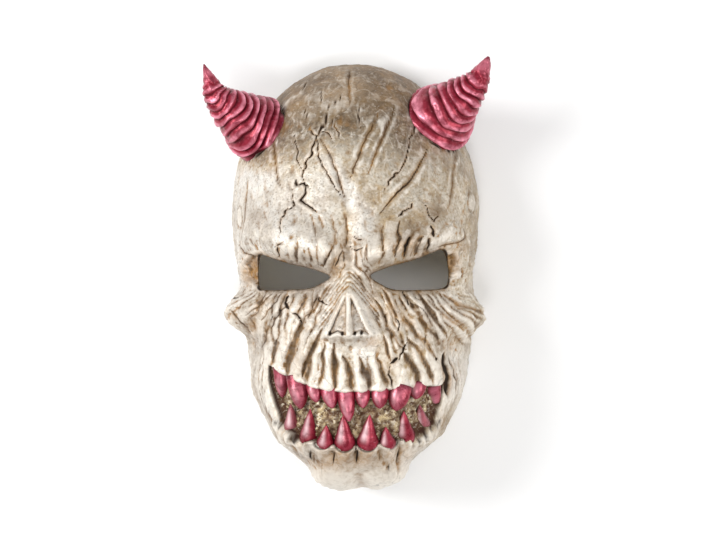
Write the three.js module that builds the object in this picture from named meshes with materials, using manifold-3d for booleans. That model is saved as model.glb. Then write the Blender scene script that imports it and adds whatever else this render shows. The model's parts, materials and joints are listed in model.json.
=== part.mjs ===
// A full-face costume mask in cast rubber: a demon's skull with bared teeth and two ribbed horns.
// It lies on its rim with the face up. Millimetres: X runs across the face, Y towards the crown and
// Z out of the face. The forms are first worked out with y = 0 on the line of the eyes and z = 0 at
// the rim, and the whole mask is then moved so that the origin is at the middle of its footprint.
import * as THREE from "three";
import { mergeVertices } from "three/addons/utils/BufferGeometryUtils.js";
import Module from "manifold-3d";

const wasm = await Module();
wasm.setup();

// Driving dimensions
const DOME = 98; // height of the plain dome under all the carving
const WALL = 4; // thickness of the cast rubber
const SKIRT = 12; // how far the raw dome runs on below the rim before it is trimmed
const RIM_LIFT = 0.0047; // how fast the rim rises towards the crown and the chin, per mm
const RIM_FLAT = 70; // half the length of the level part of the rim at each side
const GLUE_GAP = 0.3; // left between a horn and the forehead
const BROW = 10;
const SOCKET = 8;
const CHEEKBONE = 9;
const NOSE = 12;
const MUZZLE = 13;
const MOUTH = [-50, 54]; // x of its two corners
const RECESS = 6; // depth of the mouth under the gums
const NOSTRIL = 3; // depth of the slots in the nose
const BACKING = 1; // extra thickness behind the mouth and the nose
const CHIN = 3;
const FOLD = 0.9; // height of the folds over the eyes and down the cheeks
const KNOB_Y = [-22, -28]; // the left and the right cheekbone don't sit at the same height
const HORN_RIBS = 9;
const SEAT_DEPTH = 9; // how deep a horn's axis starts under the skin
const SHIFT_Y = 0.5; // from the line of the eyes to the middle of the footprint

// Half outline of the head at the rim: degrees above the line of the eyes, and the radius there.
const OUTLINE = [
  [-90, 135.5], [-84, 136], [-78, 129], [-70, 115], [-60, 105], [-50, 99], [-40, 89], [-28, 81],
  [-12, 75.5], [4, 75.5], [20, 84], [34, 95.5], [48, 108.5], [62, 121], [76, 133], [90, 137],
];
// How square the section of the dome is, by the same angle: 2 is an ellipse.
const FULLNESS = [[-90, 7], [-72, 4.6], [-55, 3.2], [-30, 2.6], [0, 2.3], [90, 2.2]];

// Eye opening at the right, from the inner corner along the top.
const EYE = [
  [12.3, -0.5], [23.5, 4.4], [33, 7], [42.5, 9.8], [52, 13], [57, 14.3],
  [59.6, 8], [60.3, -3], [57.5, -9.6], [45, -10.8], [27, -10], [18, -6],
];
const LEFT_EYE_DROP = 0.78; // the left opening doesn't reach down as far as the right one

// Grooves between the roots of the upper teeth: x at the gum, x and y at the top of the groove.
const ROOT_GROOVES = [
  [-40, -32, -31], [-29, -19, -33], [-20, -18, -46], [-10.5, -10.4, -45], [1, -3.5, -45],
  [11.5, 5.5, -50], [23, 15.5, -43], [36.5, 31, -43], [45.5, 36, -37], [53, 42, -34],
];
// Grooves between the roots of the lower teeth: x at the gum, and the length of the groove.
const CHIN_GROOVES = [[-34, 12], [-23.5, 15], [-12.3, 13], [1, 16], [14, 15], [25.5, 17], [36.5, 13]];

// Teeth: x at the gum, width, length and how far the tip leans in x.
const UPPER_TEETH = [
  [-45, 8, 15.5, 0.5], [-34.5, 11, 17, 2.3], [-24, 8, 9, 1.9], [-14.6, 9, 10.6, 2.4], [-4.5, 9, 17.6, 2.2],
  [6.2, 8, 9.5, 0.1], [17, 9, 10.5, -0.5], [29.5, 12, 13, -3.5], [40, 9, 7.5, -2], [48.4, 8, 15, 1.7],
];
const LOWER_TEETH = [
  [-39, 8.5, 10, 0], [-28.6, 9.8, 16.6, 2.4], [-18, 9.8, 11, 1.5], [-6, 11, 19.2, 0.2],
  [7.7, 11, 19, 2.7], [20, 9, 9.5, -0.2], [31, 10.2, 14.5, -0.1], [41.6, 8, 9, -1.2],
];

// Horns: the radius at the seat, how blunt the tip is, and the centreline from the seat to the tip.
const LEFT_HORN = {
  radius: 19.7,
  blunt: 0.12,
  line: [[-60, 95.5, 47], [-74, 106.5, 62], [-82.5, 115.5, 70], [-85.7, 124.5, 73], [-89.3, 135, 73]],
};
const RIGHT_HORN = {
  radius: 20.9,
  blunt: 0.3,
  line: [[57, 97.5, 47], [68, 106.5, 62], [79.5, 116.5, 70], [85.5, 126, 73], [89.3, 134, 73]],
};

const smooth = (from, to, t) => {
  const s = Math.min(1, Math.max(0, (t - from) / (to - from)));
  return s * s * (3 - 2 * s);
};
const bell = (t) => Math.exp(-t * t);
const block = (t) => Math.exp(-(t ** 4));
const mix = (a, b, t) => a + (b - a) * t;

// A smooth curve through [t, value] points, level at both ends.
function through(points, t) {
  let i = 0;
  while (i < points.length - 2 && t > points[i + 1][0]) i++;
  const slope = (k) =>
    k === 0 || k === points.length - 1
      ? 0
      : (points[k + 1][1] - points[k - 1][1]) / (points[k + 1][0] - points[k - 1][0]);
  const [[t0, v0], [t1, v1]] = [points[i], points[i + 1]];
  const span = t1 - t0;
  const s = Math.min(1, Math.max(0, (t - t0) / span));
  return (
    v0 * (1 + 2 * s) * (1 - s) ** 2 +
    slope(i) * span * s * (1 - s) ** 2 +
    v1 * s * s * (3 - 2 * s) +
    slope(i + 1) * span * s * s * (s - 1)
  );
}

// The gum lines, which curve up to the corners of the mouth.
const upperGum = (x) => -72 + (x < 0 ? 0.0062 : 0.0012) * x * x;
const lowerGum = (x) => -104.6 + 0.0042 * (x - 2) ** 2 + 3.3e-6 * (x - 2) ** 4;

// Broad forms of the skull: how far they stand out from the dome at x, y, z. The inside follows them.
function broad(x, y, z) {
  const s = Math.abs(x);
  const knobY = x < 0 ? KNOB_Y[0] : KNOB_Y[1];
  const crest = 10 + (s - 6) * 0.25;
  const brow = BROW * bell((y - crest) / (y < crest ? 8 : 17)) * smooth(1, 13, s) * (1 - smooth(58, 72, s));
  const furrow = 2.5 * bell(x / 5) * smooth(0, 14, y) * (1 - smooth(38, 60, y));
  const socket = SOCKET * block((s - 37) / 26) * bell((y + 1) / (y < -1 ? 11 : 14));
  const knob = CHEEKBONE * bell((s - 76) / 13) * block((y - knobY) / 13) * bell((z - 50) / 26);
  const archY = mix(-19, knobY, smooth(30, 70, s));
  const archEnds = smooth(12, 28, s) * (1 - smooth(68, 84, s)) * smooth(8, 40, z);
  const arch = 6 * bell((y - archY) / 9) * archEnds;
  const hollow = 6 * bell((s - 60) / 9) * bell((y + 48) / 12) * smooth(10, 45, z);
  const temple = 2.5 * bell((s - 70) / 9) * bell((y - 6) / 16) * smooth(10, 40, z);
  const noseWidth = mix(6, 18, smooth(6, -38, y));
  const nose = NOSE * bell(s / noseWidth) * smooth(10, -14, y) * (1 - smooth(-34, -46, y));
  const muzzle = MUZZLE * block(s / 55) * smooth(-20, -48, y) * (1 - smooth(-92, -122, y));
  const chin = CHIN * bell((s - 17) / 12) * bell((y + 122) / 9) * smooth(30, 60, z);
  return brow - furrow - socket + knob + arch - hollow + temple + nose + muzzle + chin;
}

// How much of the depth of the sunk parts is reached at x, y: 1 between the gums and in the nose.
function sunk(x, y) {
  const between = smooth(upperGum(x) + 1, upperGum(x), y) * smooth(lowerGum(x) - 1, lowerGum(x), y);
  const halfNose = mix(0, 13.5, smooth(-10, -36, y));
  const across = smooth(MOUTH[0] - 1, MOUTH[0], x) * smooth(MOUTH[1] + 1, MOUTH[1], x);
  const inNose = y < -10 && y > -36 && Math.abs(x + 1) < halfNose;
  return Math.max(between * across, inNose ? 1 : 0);
}

// The lowest of the broad forms round a point, so that the wall keeps its thickness beside a step.
function lowest(x, y, z) {
  const form = (u, v) => broad(u, v, z) - (RECESS + BACKING) * sunk(u, v);
  let h = form(x, y);
  for (let k = 0; k < 8; k++) {
    const turn = (k / 8) * 2 * Math.PI;
    h = Math.min(h, form(x + 4.5 * Math.cos(turn), y + 4.5 * Math.sin(turn)));
  }
  return h;
}

// The outer skin has finer carving over the broad forms.
function carved(x, y, z) {
  const s = Math.abs(x);
  let h = broad(x, y, z);
  const gum = upperGum(x);
  for (const [gumX, topX, topY] of ROOT_GROOVES) {
    const t = Math.min(1, Math.max(0, (y - gum) / (topY - gum)));
    const along = smooth(gum - 1, gum + 2, y) * (1 - smooth(topY, topY + 9, y));
    h -= 2.2 * bell((x - mix(gumX, topX, t)) / 2.2) * along;
  }
  const sill = lowerGum(x);
  for (const [gumX, length] of CHIN_GROOVES) {
    const along = smooth(sill + 1, sill - 2, y) * smooth(sill - length - 5, sill - length, y);
    h -= 2 * bell((x - gumX * mix(1, 0.8, (sill - y) / length)) / 2.2) * along;
  }
  // Upright folds that hang from the brow.
  const lid = 0.8 + s * 0.24;
  const overLid = bell((y - lid - 5) / 7) * smooth(12, 18, s) * (1 - smooth(50, 58, s));
  h += FOLD * Math.cos((x / 8.2) * 2 * Math.PI) * overLid;
  // Slanting folds down each cheek.
  const slant = s * 0.8 + y * 0.6;
  h += FOLD * Math.cos((slant / 7.5) * 2 * Math.PI) * bell((s - 48) / 18) * bell((y + 27) / 10);
  // The slot between the upper jaw and the branch of the lower jaw.
  h -= 2.5 * bell((s - (x < 0 ? 52 : 56)) / 2.2) * block((y + 61) / 11);
  return h;
}

// A point of the skin for a point (a, b) of the unit disc, before the carving is added.
function domePoint(a, b) {
  const rho = Math.hypot(a, b);
  if (rho < 1e-9) return { x: 0, y: 0, z: DOME, r: 0 };
  const degrees = THREE.MathUtils.radToDeg(Math.atan2(b, Math.abs(a)));
  const turn = (rho * Math.PI) / 2;
  const p = through(FULLNESS, degrees);
  const s = (Math.sin(turn) ** p + Math.max(0, Math.cos(turn)) ** p) ** (-1 / p);
  const r = Math.sin(turn) * s;
  const reach = (r * through(OUTLINE, degrees)) / rho;
  return { x: a * reach, y: b * reach, z: DOME * Math.max(0, Math.cos(turn)) * s, r };
}

// Outward direction of the plain dome at (a, b).
function domeNormal(a, b) {
  const e = 1e-3;
  const at = (u, v) => {
    const { x, y, z } = domePoint(u, v);
    return new THREE.Vector3(x, y, z);
  };
  const across = at(a + e, b).sub(at(a - e, b));
  return across.cross(at(a, b + e).sub(at(a, b - e))).normalize();
}

// A point of the skin, moved out by `extra`, with the forms given by `relief`. They rise straight up
// in the middle of the face and along the normal near its outline.
function skin(a, b, relief, extra) {
  const { x, y, z, r } = domePoint(a, b);
  const scale = 0.998; // keeps the finite differences inside the disc
  const normal = domeNormal(a * scale, b * scale);
  const up = new THREE.Vector3(0, 0, 1).lerp(normal, smooth(0.72, 0.97, r)).normalize();
  return new THREE.Vector3(x, y, z).addScaledVector(up, relief(x, y, z)).addScaledVector(normal, extra);
}

// Values from -1 to 1, in stretches of [from, to, steps].
function spread(stretches) {
  const values = stretches.flatMap(([from, to, steps]) =>
    Array.from({ length: steps }, (_, i) => mix(from, to, i / steps)),
  );
  return [...values, stretches.at(-1)[1]];
}

// A closed solid from rows of points, each row as long as the next. Rings close on themselves.
function solidFrom(positions, triangles) {
  return new wasm.Manifold(
    new wasm.Mesh({
      numProp: 3,
      vertProperties: new Float32Array(positions.flatMap((p) => [p.x, p.y, p.z])),
      triVerts: new Uint32Array(triangles.flat()),
    }),
  );
}

// The space under the skin, as a solid that runs on below the rim.
function underSkin(columns, rows, relief, extra, bottom) {
  const points = [];
  for (const v of rows)
    for (const u of columns) {
      const a = u * Math.sqrt(1 - (v * v) / 2);
      const b = v * Math.sqrt(1 - (u * u) / 2);
      points.push(skin(a, b, relief, extra));
    }
  const wide = columns.length;
  const high = rows.length;
  const at = (i, j) => j * wide + i;
  const triangles = [];
  for (let j = 0; j < high - 1; j++)
    for (let i = 0; i < wide - 1; i++) {
      const [p, q, r, s] = [at(i, j), at(i + 1, j), at(i + 1, j + 1), at(i, j + 1)];
      const falling = (columns[i] + columns[i + 1]) * (rows[j] + rows[j + 1]) > 0;
      triangles.push(...(falling ? [[p, q, s], [q, r, s]] : [[p, q, r], [p, r, s]]));
    }
  const border = [
    ...columns.slice(0, -1).map((_, i) => at(i, 0)),
    ...rows.slice(0, -1).map((_, j) => at(wide - 1, j)),
    ...columns.slice(0, -1).map((_, i) => at(wide - 1 - i, high - 1)),
    ...rows.slice(0, -1).map((_, j) => at(0, high - 1 - j)),
  ];
  const below = border.map((k) => {
    points.push(new THREE.Vector3(points[k].x, points[k].y, bottom));
    return points.length - 1;
  });
  points.push(new THREE.Vector3(0, 0, bottom));
  const centre = points.length - 1;
  border.forEach((k, n) => {
    const next = (n + 1) % border.length;
    triangles.push([k, below[n], border[next]], [border[next], below[n], below[next]]);
    triangles.push([below[n], centre, below[next]]);
  });
  return solidFrom(points, triangles);
}

// A three.js geometry as a solid, and a solid as a geometry.
function fromGeometry(geometry) {
  for (const name of ["normal", "uv"]) geometry.deleteAttribute(name);
  const merged = mergeVertices(geometry, 1e-4);
  return new wasm.Manifold(
    new wasm.Mesh({
      numProp: 3,
      vertProperties: merged.attributes.position.array,
      triVerts: new Uint32Array(merged.index.array),
    }),
  );
}
function toGeometry(solid) {
  const { vertProperties, triVerts } = solid.getMesh();
  const geometry = new THREE.BufferGeometry();
  geometry.setAttribute("position", new THREE.BufferAttribute(vertProperties, 3));
  geometry.setIndex(new THREE.BufferAttribute(triVerts, 1));
  geometry.computeVertexNormals();
  return geometry;
}

// A prism that stands on the outline given and goes right through the face.
function prism(outline) {
  const shape = new THREE.Shape(outline.map(([x, y]) => new THREE.Vector2(x, y)));
  const geometry = new THREE.ExtrudeGeometry(shape, { depth: 110, bevelEnabled: false });
  return fromGeometry(geometry.translate(0, 0, 30));
}

function eyeCutter(side) {
  return prism(EYE.map(([x, y]) => [side * x, side < 0 && y < 0 ? y * LEFT_EYE_DROP : y]));
}

// The mouth from corner to corner, between the gum lines.
function mouthCutter() {
  const steps = 24;
  const outline = [];
  for (let i = 0; i <= steps; i++) {
    const x = mix(MOUTH[0], MOUTH[1], i / steps);
    outline.push([x, lowerGum(x)]);
  }
  for (let i = 0; i <= steps; i++) {
    const x = mix(MOUTH[1], MOUTH[0], i / steps);
    outline.push([x, upperGum(x)]);
  }
  return prism(outline);
}

// The nasal opening: two slots either side of a thin septum.
function nasalCutter() {
  const left = prism([[-2, -13], [-2.6, -36], [-8, -34], [-13.5, -36], [-8, -24]]);
  return left.add(prism([[0.2, -14], [5.5, -24], [11, -36], [6, -34], [0.8, -36]]));
}

// Everything below the rim: level at the sides, rising towards the crown and the chin.
function rimCutter() {
  const reach = 150;
  const steps = 10;
  const shape = new THREE.Shape();
  shape.moveTo(-reach, -40);
  for (const end of [-1, 1])
    for (let i = 0; i <= steps; i++) {
      const y = end < 0 ? mix(-reach, -RIM_FLAT, i / steps) : mix(RIM_FLAT, reach, i / steps);
      shape.lineTo(y, RIM_LIFT * (Math.abs(y) - RIM_FLAT) ** 2);
    }
  shape.lineTo(reach, -40);
  const geometry = new THREE.ExtrudeGeometry(shape, { depth: 240, bevelEnabled: false });
  geometry.translate(0, 0, -120).applyMatrix4(
    new THREE.Matrix4().makeBasis(
      new THREE.Vector3(0, 1, 0),
      new THREE.Vector3(0, 0, 1),
      new THREE.Vector3(1, 0, 0),
    ),
  );
  return fromGeometry(geometry);
}

// Height of the outer skin over a point of the face, by stepping inwards from the disc's rim.
function skinHeight(x, y) {
  const degrees = THREE.MathUtils.radToDeg(Math.atan2(y, Math.abs(x)));
  const p = through(FULLNESS, degrees);
  const r = Math.min(1, Math.hypot(x, y) / through(OUTLINE, degrees));
  const z = DOME * (1 - r ** p) ** (1 / p);
  return z + broad(x, y, z);
}

// One tooth: a cone rooted in the gum that points down (-1) or up (1).
function tooth([x, width, length, lean], gumLine, direction) {
  const root = new THREE.Vector3(x, gumLine(x) - direction * 2, 0);
  const tip = new THREE.Vector3(x + lean, gumLine(x) + direction * length, 0);
  root.z = skinHeight(root.x, root.y) - 4.2;
  tip.z = skinHeight(tip.x, tip.y) - 1;
  const axis = tip.clone().sub(root);
  const size = axis.length();
  const profile = [[0, 0], [0.5, 0.04], [0.46, 0.45], [0.24, 0.8], [0, 1]];
  const geometry = new THREE.LatheGeometry(
    profile.map(([across, along]) => new THREE.Vector2(across * width, along * size)),
    7,
  );
  geometry.scale(1, 1, 0.85);
  geometry.applyQuaternion(
    new THREE.Quaternion().setFromUnitVectors(new THREE.Vector3(0, 1, 0), axis.normalize()),
  );
  geometry.translate(root.x, root.y, root.z);
  return fromGeometry(geometry);
}

const COLUMNS = spread([[-1, -0.6, 6], [-0.6, 0.6, 42], [0.6, 1, 6]]);
const ROWS = spread([[-1, -0.66, 6], [-0.66, -0.18, 13], [-0.18, 0.22, 11], [0.22, 1, 7]]);

// The rubber face: a shell with its teeth cast on.
function face() {
  const outer = underSkin(COLUMNS, ROWS, carved, 0, -SKIRT);
  const bed = (depth) => underSkin(spread([[-1, 1, 24]]), spread([[-1, 1, 30]]), broad, -depth, -SKIRT);
  const inner = underSkin(
    spread([[-1, -0.7, 3], [-0.7, 0.7, 22], [0.7, 1, 3]]),
    spread([[-1, -0.7, 4], [-0.7, 0.3, 18], [0.3, 1, 5]]),
    lowest, -WALL, -2 * SKIRT,
  );
  let solid = outer.subtract(mouthCutter().subtract(bed(RECESS)));
  solid = solid.subtract(nasalCutter().subtract(bed(NOSTRIL)));
  for (const form of UPPER_TEETH) solid = solid.add(tooth(form, upperGum, -1));
  for (const form of LOWER_TEETH) solid = solid.add(tooth(form, lowerGum, 1));
  for (const side of [-1, 1]) solid = solid.subtract(eyeCutter(side));
  return solid.subtract(inner).subtract(rimCutter());
}

// A horn: rings that swell and pinch in ribs along a curve, cut to fit the forehead.
function horn(form, seat) {
  const line = new THREE.CatmullRomCurve3(form.line.map((point) => new THREE.Vector3(...point)));
  const start = line.getTangentAt(0);
  const steps = HORN_RIBS * 3;
  const sides = 10;
  const points = [line.getPointAt(0).addScaledVector(start, -SEAT_DEPTH)];
  const triangles = [];
  const ring = (centre, tangent, radius) => {
    const across = new THREE.Vector3(0, 0, 1).cross(tangent).normalize();
    const over = tangent.clone().cross(across);
    for (let k = 0; k < sides; k++) {
      const turn = (k / sides) * 2 * Math.PI;
      points.push(
        centre.clone()
          .addScaledVector(across, Math.cos(turn) * radius)
          .addScaledVector(over, Math.sin(turn) * radius),
      );
    }
  };
  ring(points[0], start, form.radius);
  const swell = [1.03, 1.065, 0.975];
  for (let i = 0; i < steps; i++) {
    const t = 1 - (1 - i / steps) ** 1.12;
    const taper = form.radius * mix(1 - t, Math.sqrt(1 - t), form.blunt);
    ring(line.getPointAt(t), line.getTangentAt(t), taper * swell[i % 3]);
  }
  points.push(line.getPointAt(1));
  const last = points.length - 1;
  for (let k = 0; k < sides; k++) {
    const next = (k + 1) % sides;
    triangles.push([0, 1 + next, 1 + k]);
    for (let j = 0; j < steps; j++) {
      const [low, high] = [1 + j * sides, 1 + (j + 1) * sides];
      triangles.push([low + k, low + next, high + next], [low + k, high + next, high + k]);
    }
    const top = 1 + steps * sides;
    triangles.push([top + k, top + next, last]);
  }
  return solidFrom(points, triangles).subtract(seat);
}

const bone = new THREE.MeshStandardMaterial({ color: 0xc9bfae, roughness: 0.42, metalness: 0.25 });
const crimson = new THREE.MeshStandardMaterial({ color: 0xa83a52, roughness: 0.4, metalness: 0.3 });

function piece(name, solid, material) {
  const mesh = new THREE.Mesh(toGeometry(solid), material);
  mesh.name = name;
  return mesh;
}

const seat = underSkin(COLUMNS, ROWS, carved, GLUE_GAP, -SKIRT);
const mask = new THREE.Group();
mask.add(piece("mask_face", face(), bone));
mask.add(piece("left_horn", horn(LEFT_HORN, seat), crimson));
mask.add(piece("right_horn", horn(RIGHT_HORN, seat), crimson));
mask.position.y = SHIFT_Y;

export default mask;
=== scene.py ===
"""Looks of a cast-rubber demon mask that lies on its rim with the face up.

Lengths are in millimetres until a mesh is made. The forms are worked out with y = 0 on the line of the
eyes and z = 0 at the rim, and move by SHIFT_Y when they become a mesh.
"""
import json
import math

import bmesh
import bpy
import numpy as np
from mathutils import Matrix, Vector

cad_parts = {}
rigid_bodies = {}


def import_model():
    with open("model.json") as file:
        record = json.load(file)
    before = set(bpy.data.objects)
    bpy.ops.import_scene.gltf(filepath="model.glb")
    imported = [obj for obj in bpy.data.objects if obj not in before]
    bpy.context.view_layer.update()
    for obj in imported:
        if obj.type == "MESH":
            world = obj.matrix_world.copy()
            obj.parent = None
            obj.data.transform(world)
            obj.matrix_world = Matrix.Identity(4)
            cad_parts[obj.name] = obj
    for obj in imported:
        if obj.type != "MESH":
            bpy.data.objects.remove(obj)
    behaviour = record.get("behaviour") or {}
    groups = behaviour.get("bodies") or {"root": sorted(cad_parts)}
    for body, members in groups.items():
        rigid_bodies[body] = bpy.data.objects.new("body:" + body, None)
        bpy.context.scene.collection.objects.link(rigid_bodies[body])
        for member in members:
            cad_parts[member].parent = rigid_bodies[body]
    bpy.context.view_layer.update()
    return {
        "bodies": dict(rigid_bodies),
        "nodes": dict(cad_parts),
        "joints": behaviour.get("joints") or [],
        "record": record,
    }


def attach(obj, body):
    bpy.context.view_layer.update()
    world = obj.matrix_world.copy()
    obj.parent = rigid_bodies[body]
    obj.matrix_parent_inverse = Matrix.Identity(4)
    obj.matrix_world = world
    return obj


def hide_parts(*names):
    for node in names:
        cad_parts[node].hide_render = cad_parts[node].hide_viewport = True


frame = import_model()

# The plain dome: its height, its wall, and how far the rim curves up past its flat part
DOME = 98.0
WALL = 4.0
RIM_LIFT = 0.0047
RIM_FLAT = 70.0
SHIFT_Y = 0.5

# How far the forms of the skull stand out or lie deep
BROW = 10.0
FURROW = 2.5
SOCKET = 8.0
CHEEKBONE = 9.0
ARCH = 6.0
CHEEK_HOLLOW = 6.0
TEMPLE = 2.5
NOSE = 12.0
MUZZLE = 13.0
CHIN = 3.0
RECESS = 6.0
BACKING = 1.0

# The ends of the mouth, the gums at its middle, and the cheekbones at the left and the right
MOUTH = (-50.0, 54.0)
UPPER_GUM_Y = -72.0
LOWER_GUM_Y = -104.6
KNOB_Y = (-22.0, -28.0)

# How far round a point the lining looks for lower forms, and how high over the rim the strokes begin
LINING_REACH = 4.5
STROKES_FROM = 5.0

# Half outline of the head at the rim: degrees above the line of the eyes, and the radius there
OUTLINE = [
    (-90, 135.5), (-84, 136), (-78, 129), (-70, 115), (-60, 105), (-50, 99), (-40, 89), (-28, 81),
    (-12, 75.5), (4, 75.5), (20, 84), (34, 95.5), (48, 108.5), (62, 121), (76, 133), (90, 137),
]
# How square the section of the dome is, by the same angle: 2 is an ellipse
FULLNESS = [(-90, 7), (-72, 4.6), (-55, 3.2), (-30, 2.6), (0, 2.3), (90, 2.2)]

# Eye opening at the right, from the inner corner along the top
EYE = [
    (12.3, -0.5), (23.5, 4.4), (33, 7), (42.5, 9.8), (52, 13), (57, 14.3),
    (59.6, 8), (60.3, -3), (57.5, -9.6), (45, -10.8), (27, -10), (18, -6),
]
# How much of the depth below the line of the eyes the opening at the left has
LEFT_EYE_DROP = 0.78
# The wall of an eye opening: how far in and how far down each row of it is
EYE_WALL = [(0.35, 0.6), (0.45, 1.8)]
EYE_HALF_WIDTH = 25.0
LINING_EYE_GROWTH = 0.6

# Teeth: x at the gum, width, length and how far the tip leans in x
UPPER_TEETH = [
    (-45, 8, 15.5, 0.5), (-34.5, 11, 17, 2.3), (-24, 8, 9, 1.9), (-14.6, 9, 10.6, 2.4), (-4.5, 9, 17.6, 2.2),
    (6.2, 8, 9.5, 0.1), (17, 9, 10.5, -0.5), (29.5, 12, 13, -3.5), (40, 9, 7.5, -2), (48.4, 8, 15, 1.7),
]
LOWER_TEETH = [
    (-39, 8.5, 10, 0), (-28.6, 9.8, 16.6, 2.4), (-18, 9.8, 11, 1.5), (-6, 11, 19.2, 0.2),
    (7.7, 11, 19, 2.7), (20, 9, 9.5, -0.2), (31, 10.2, 14.5, -0.1), (41.6, 8, 9, -1.2),
]

# Horns: the radius at the seat, how blunt the tip is, the ribs, and the centreline from the seat to the tip
LEFT_HORN = {
    "radius": 20.2,
    "blunt": 0.12,
    "ribs": 12.5,
    "line": [(-60, 95.5, 47), (-74, 106.5, 62), (-82.5, 115.5, 70), (-85.7, 124.5, 73), (-89.3, 135, 73)],
}
RIGHT_HORN = {
    "radius": 21.4,
    "blunt": 0.3,
    "ribs": 9.5,
    "line": [(57, 97.5, 47), (68, 106.5, 62), (79.5, 116.5, 70), (85.5, 126, 73), (89.3, 134, 73)],
}

# Depth of the ribs as a share of the radius, and how far under the plain dome a horn begins
RIB_DEPTH = 0.105
HORN_ROOT = 2.2
# Shares of its length between which a horn leaves the skin, and the steps of the search for that place
ROOT_SEARCH = (-0.16, 0.6, 400)

# Points round a horn or a tooth and rings along it, and the even steps of a horn's centreline
HORN_GRID = (120, 250)
TOOTH_GRID = (32, 34)
LINE_STEPS = 600

# Camera, the pixel that shows the middle of the eyes, and a first guess of how high a pixel's place is
PHOTO_WIDTH = 716
PHOTO_CENTRE = (358, 270)
EYE_PIXEL = (353, 275)
MM_PER_PIXEL = 0.63
CAMERA_DISTANCE = 1650.0
CAMERA_YAW = math.radians(2.8)
CAMERA_ROLL = math.radians(1.6)
LOOK_Z = 60.0
FIRST_GUESS_Z = 90.0
SENSOR = 36

# Cracks, in pixels of the photograph: width and depth in millimetres, then the line
CRACKS = [
    (1.5, 1.3, [(325, 113), (327, 119), (323, 127), (317, 136)]),
    (1.3, 1.2, [(316, 135), (318, 148), (319, 158), (322, 165), (327, 173), (333, 183), (342, 197)]),
    (1.6, 1.3, [(317, 135), (312, 149), (313, 153), (306, 161), (307, 165), (303, 170), (303, 180)]),
    (1.7, 1.3, [(303, 177), (306, 192), (301, 200), (306, 204), (311, 207), (317, 213)]),
    (1.2, 1.0, [(322, 131), (328, 133), (334, 139)]),
    (1.2, 1.0, [(309, 130), (317, 136)]),
    (1.1, 0.9, [(293, 135), (295, 143), (299, 150), (297, 160), (303, 171)]),
    (1.5, 1.2, [(292, 189), (292, 198), (294, 205), (288, 209), (280, 220), (280, 233)]),
    (1.8, 1.2, [(294, 178), (297, 185), (303, 184), (311, 188)]),
    (1.1, 0.8, [(330, 120), (336, 128), (340, 138)]),
    (1.4, 1.0, [(307, 77), (304, 90)]),
    (1.2, 0.8, [(304, 108), (307, 117)]),
    (1.1, 0.7, [(321, 91), (322, 101)]),
    (1.1, 0.8, [(342, 96), (336, 101), (329, 107), (326, 113)]),
    (1.0, 0.8, [(360, 104), (359, 120), (361, 130)]),
    (1.3, 1.1, [(418, 117), (414, 130), (409, 141), (407, 157), (399, 171), (390, 180), (383, 194)]),
    (1.3, 1.0, [(414, 203), (410, 208), (403, 212), (398, 217)]),
    (1.4, 1.0, [(425, 205), (429, 214), (433, 221), (438, 215)]),
    (2.4, 1.4, [(431, 226), (434, 237)]),
    (1.5, 1.1, [(429, 238), (429, 244), (426, 251)]),
    (1.2, 0.9, [(350, 247), (356, 250), (363, 248)]),
    (1.2, 0.9, [(354, 236), (359, 240), (365, 240)]),
    (1.4, 0.9, [(278, 245), (279, 257)]),
    (1.0, 0.7, [(274, 248), (279, 245), (285, 243)]),
    (1.4, 0.9, [(239, 299), (243, 297), (247, 297)]),
    (2.0, 1.2, [(288, 296), (286, 303), (289, 309)]),
    (1.4, 1.1, [(291, 311), (297, 316), (301, 319), (301, 325)]),
    (1.2, 0.9, [(319, 296), (320, 301), (327, 304)]),
    (1.4, 1.1, [(402, 291), (406, 299), (410, 306)]),
    (1.4, 1.1, [(396, 318), (399, 324), (398, 332)]),
    (2.6, 1.5, [(391, 364), (396, 359), (399, 357)]),
    (1.5, 1.1, [(400, 359), (402, 352), (407, 342)]),
    (1.4, 1.0, [(391, 366), (389, 374), (392, 381), (393, 391)]),
    (1.6, 1.1, [(434, 358), (436, 361)]),
    (1.6, 1.0, [(315, 446), (316, 456)]),
    (1.5, 1.0, [(355, 443), (357, 452), (356, 460)]),
    (2.0, 1.2, [(378, 451), (379, 457)]),
    (1.5, 1.0, [(382, 458), (387, 467)]),
    (1.3, 1.0, [(395, 444), (395, 455), (394, 463)]),
    (1.2, 0.8, [(335, 450), (334, 462)]),
]

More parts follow.
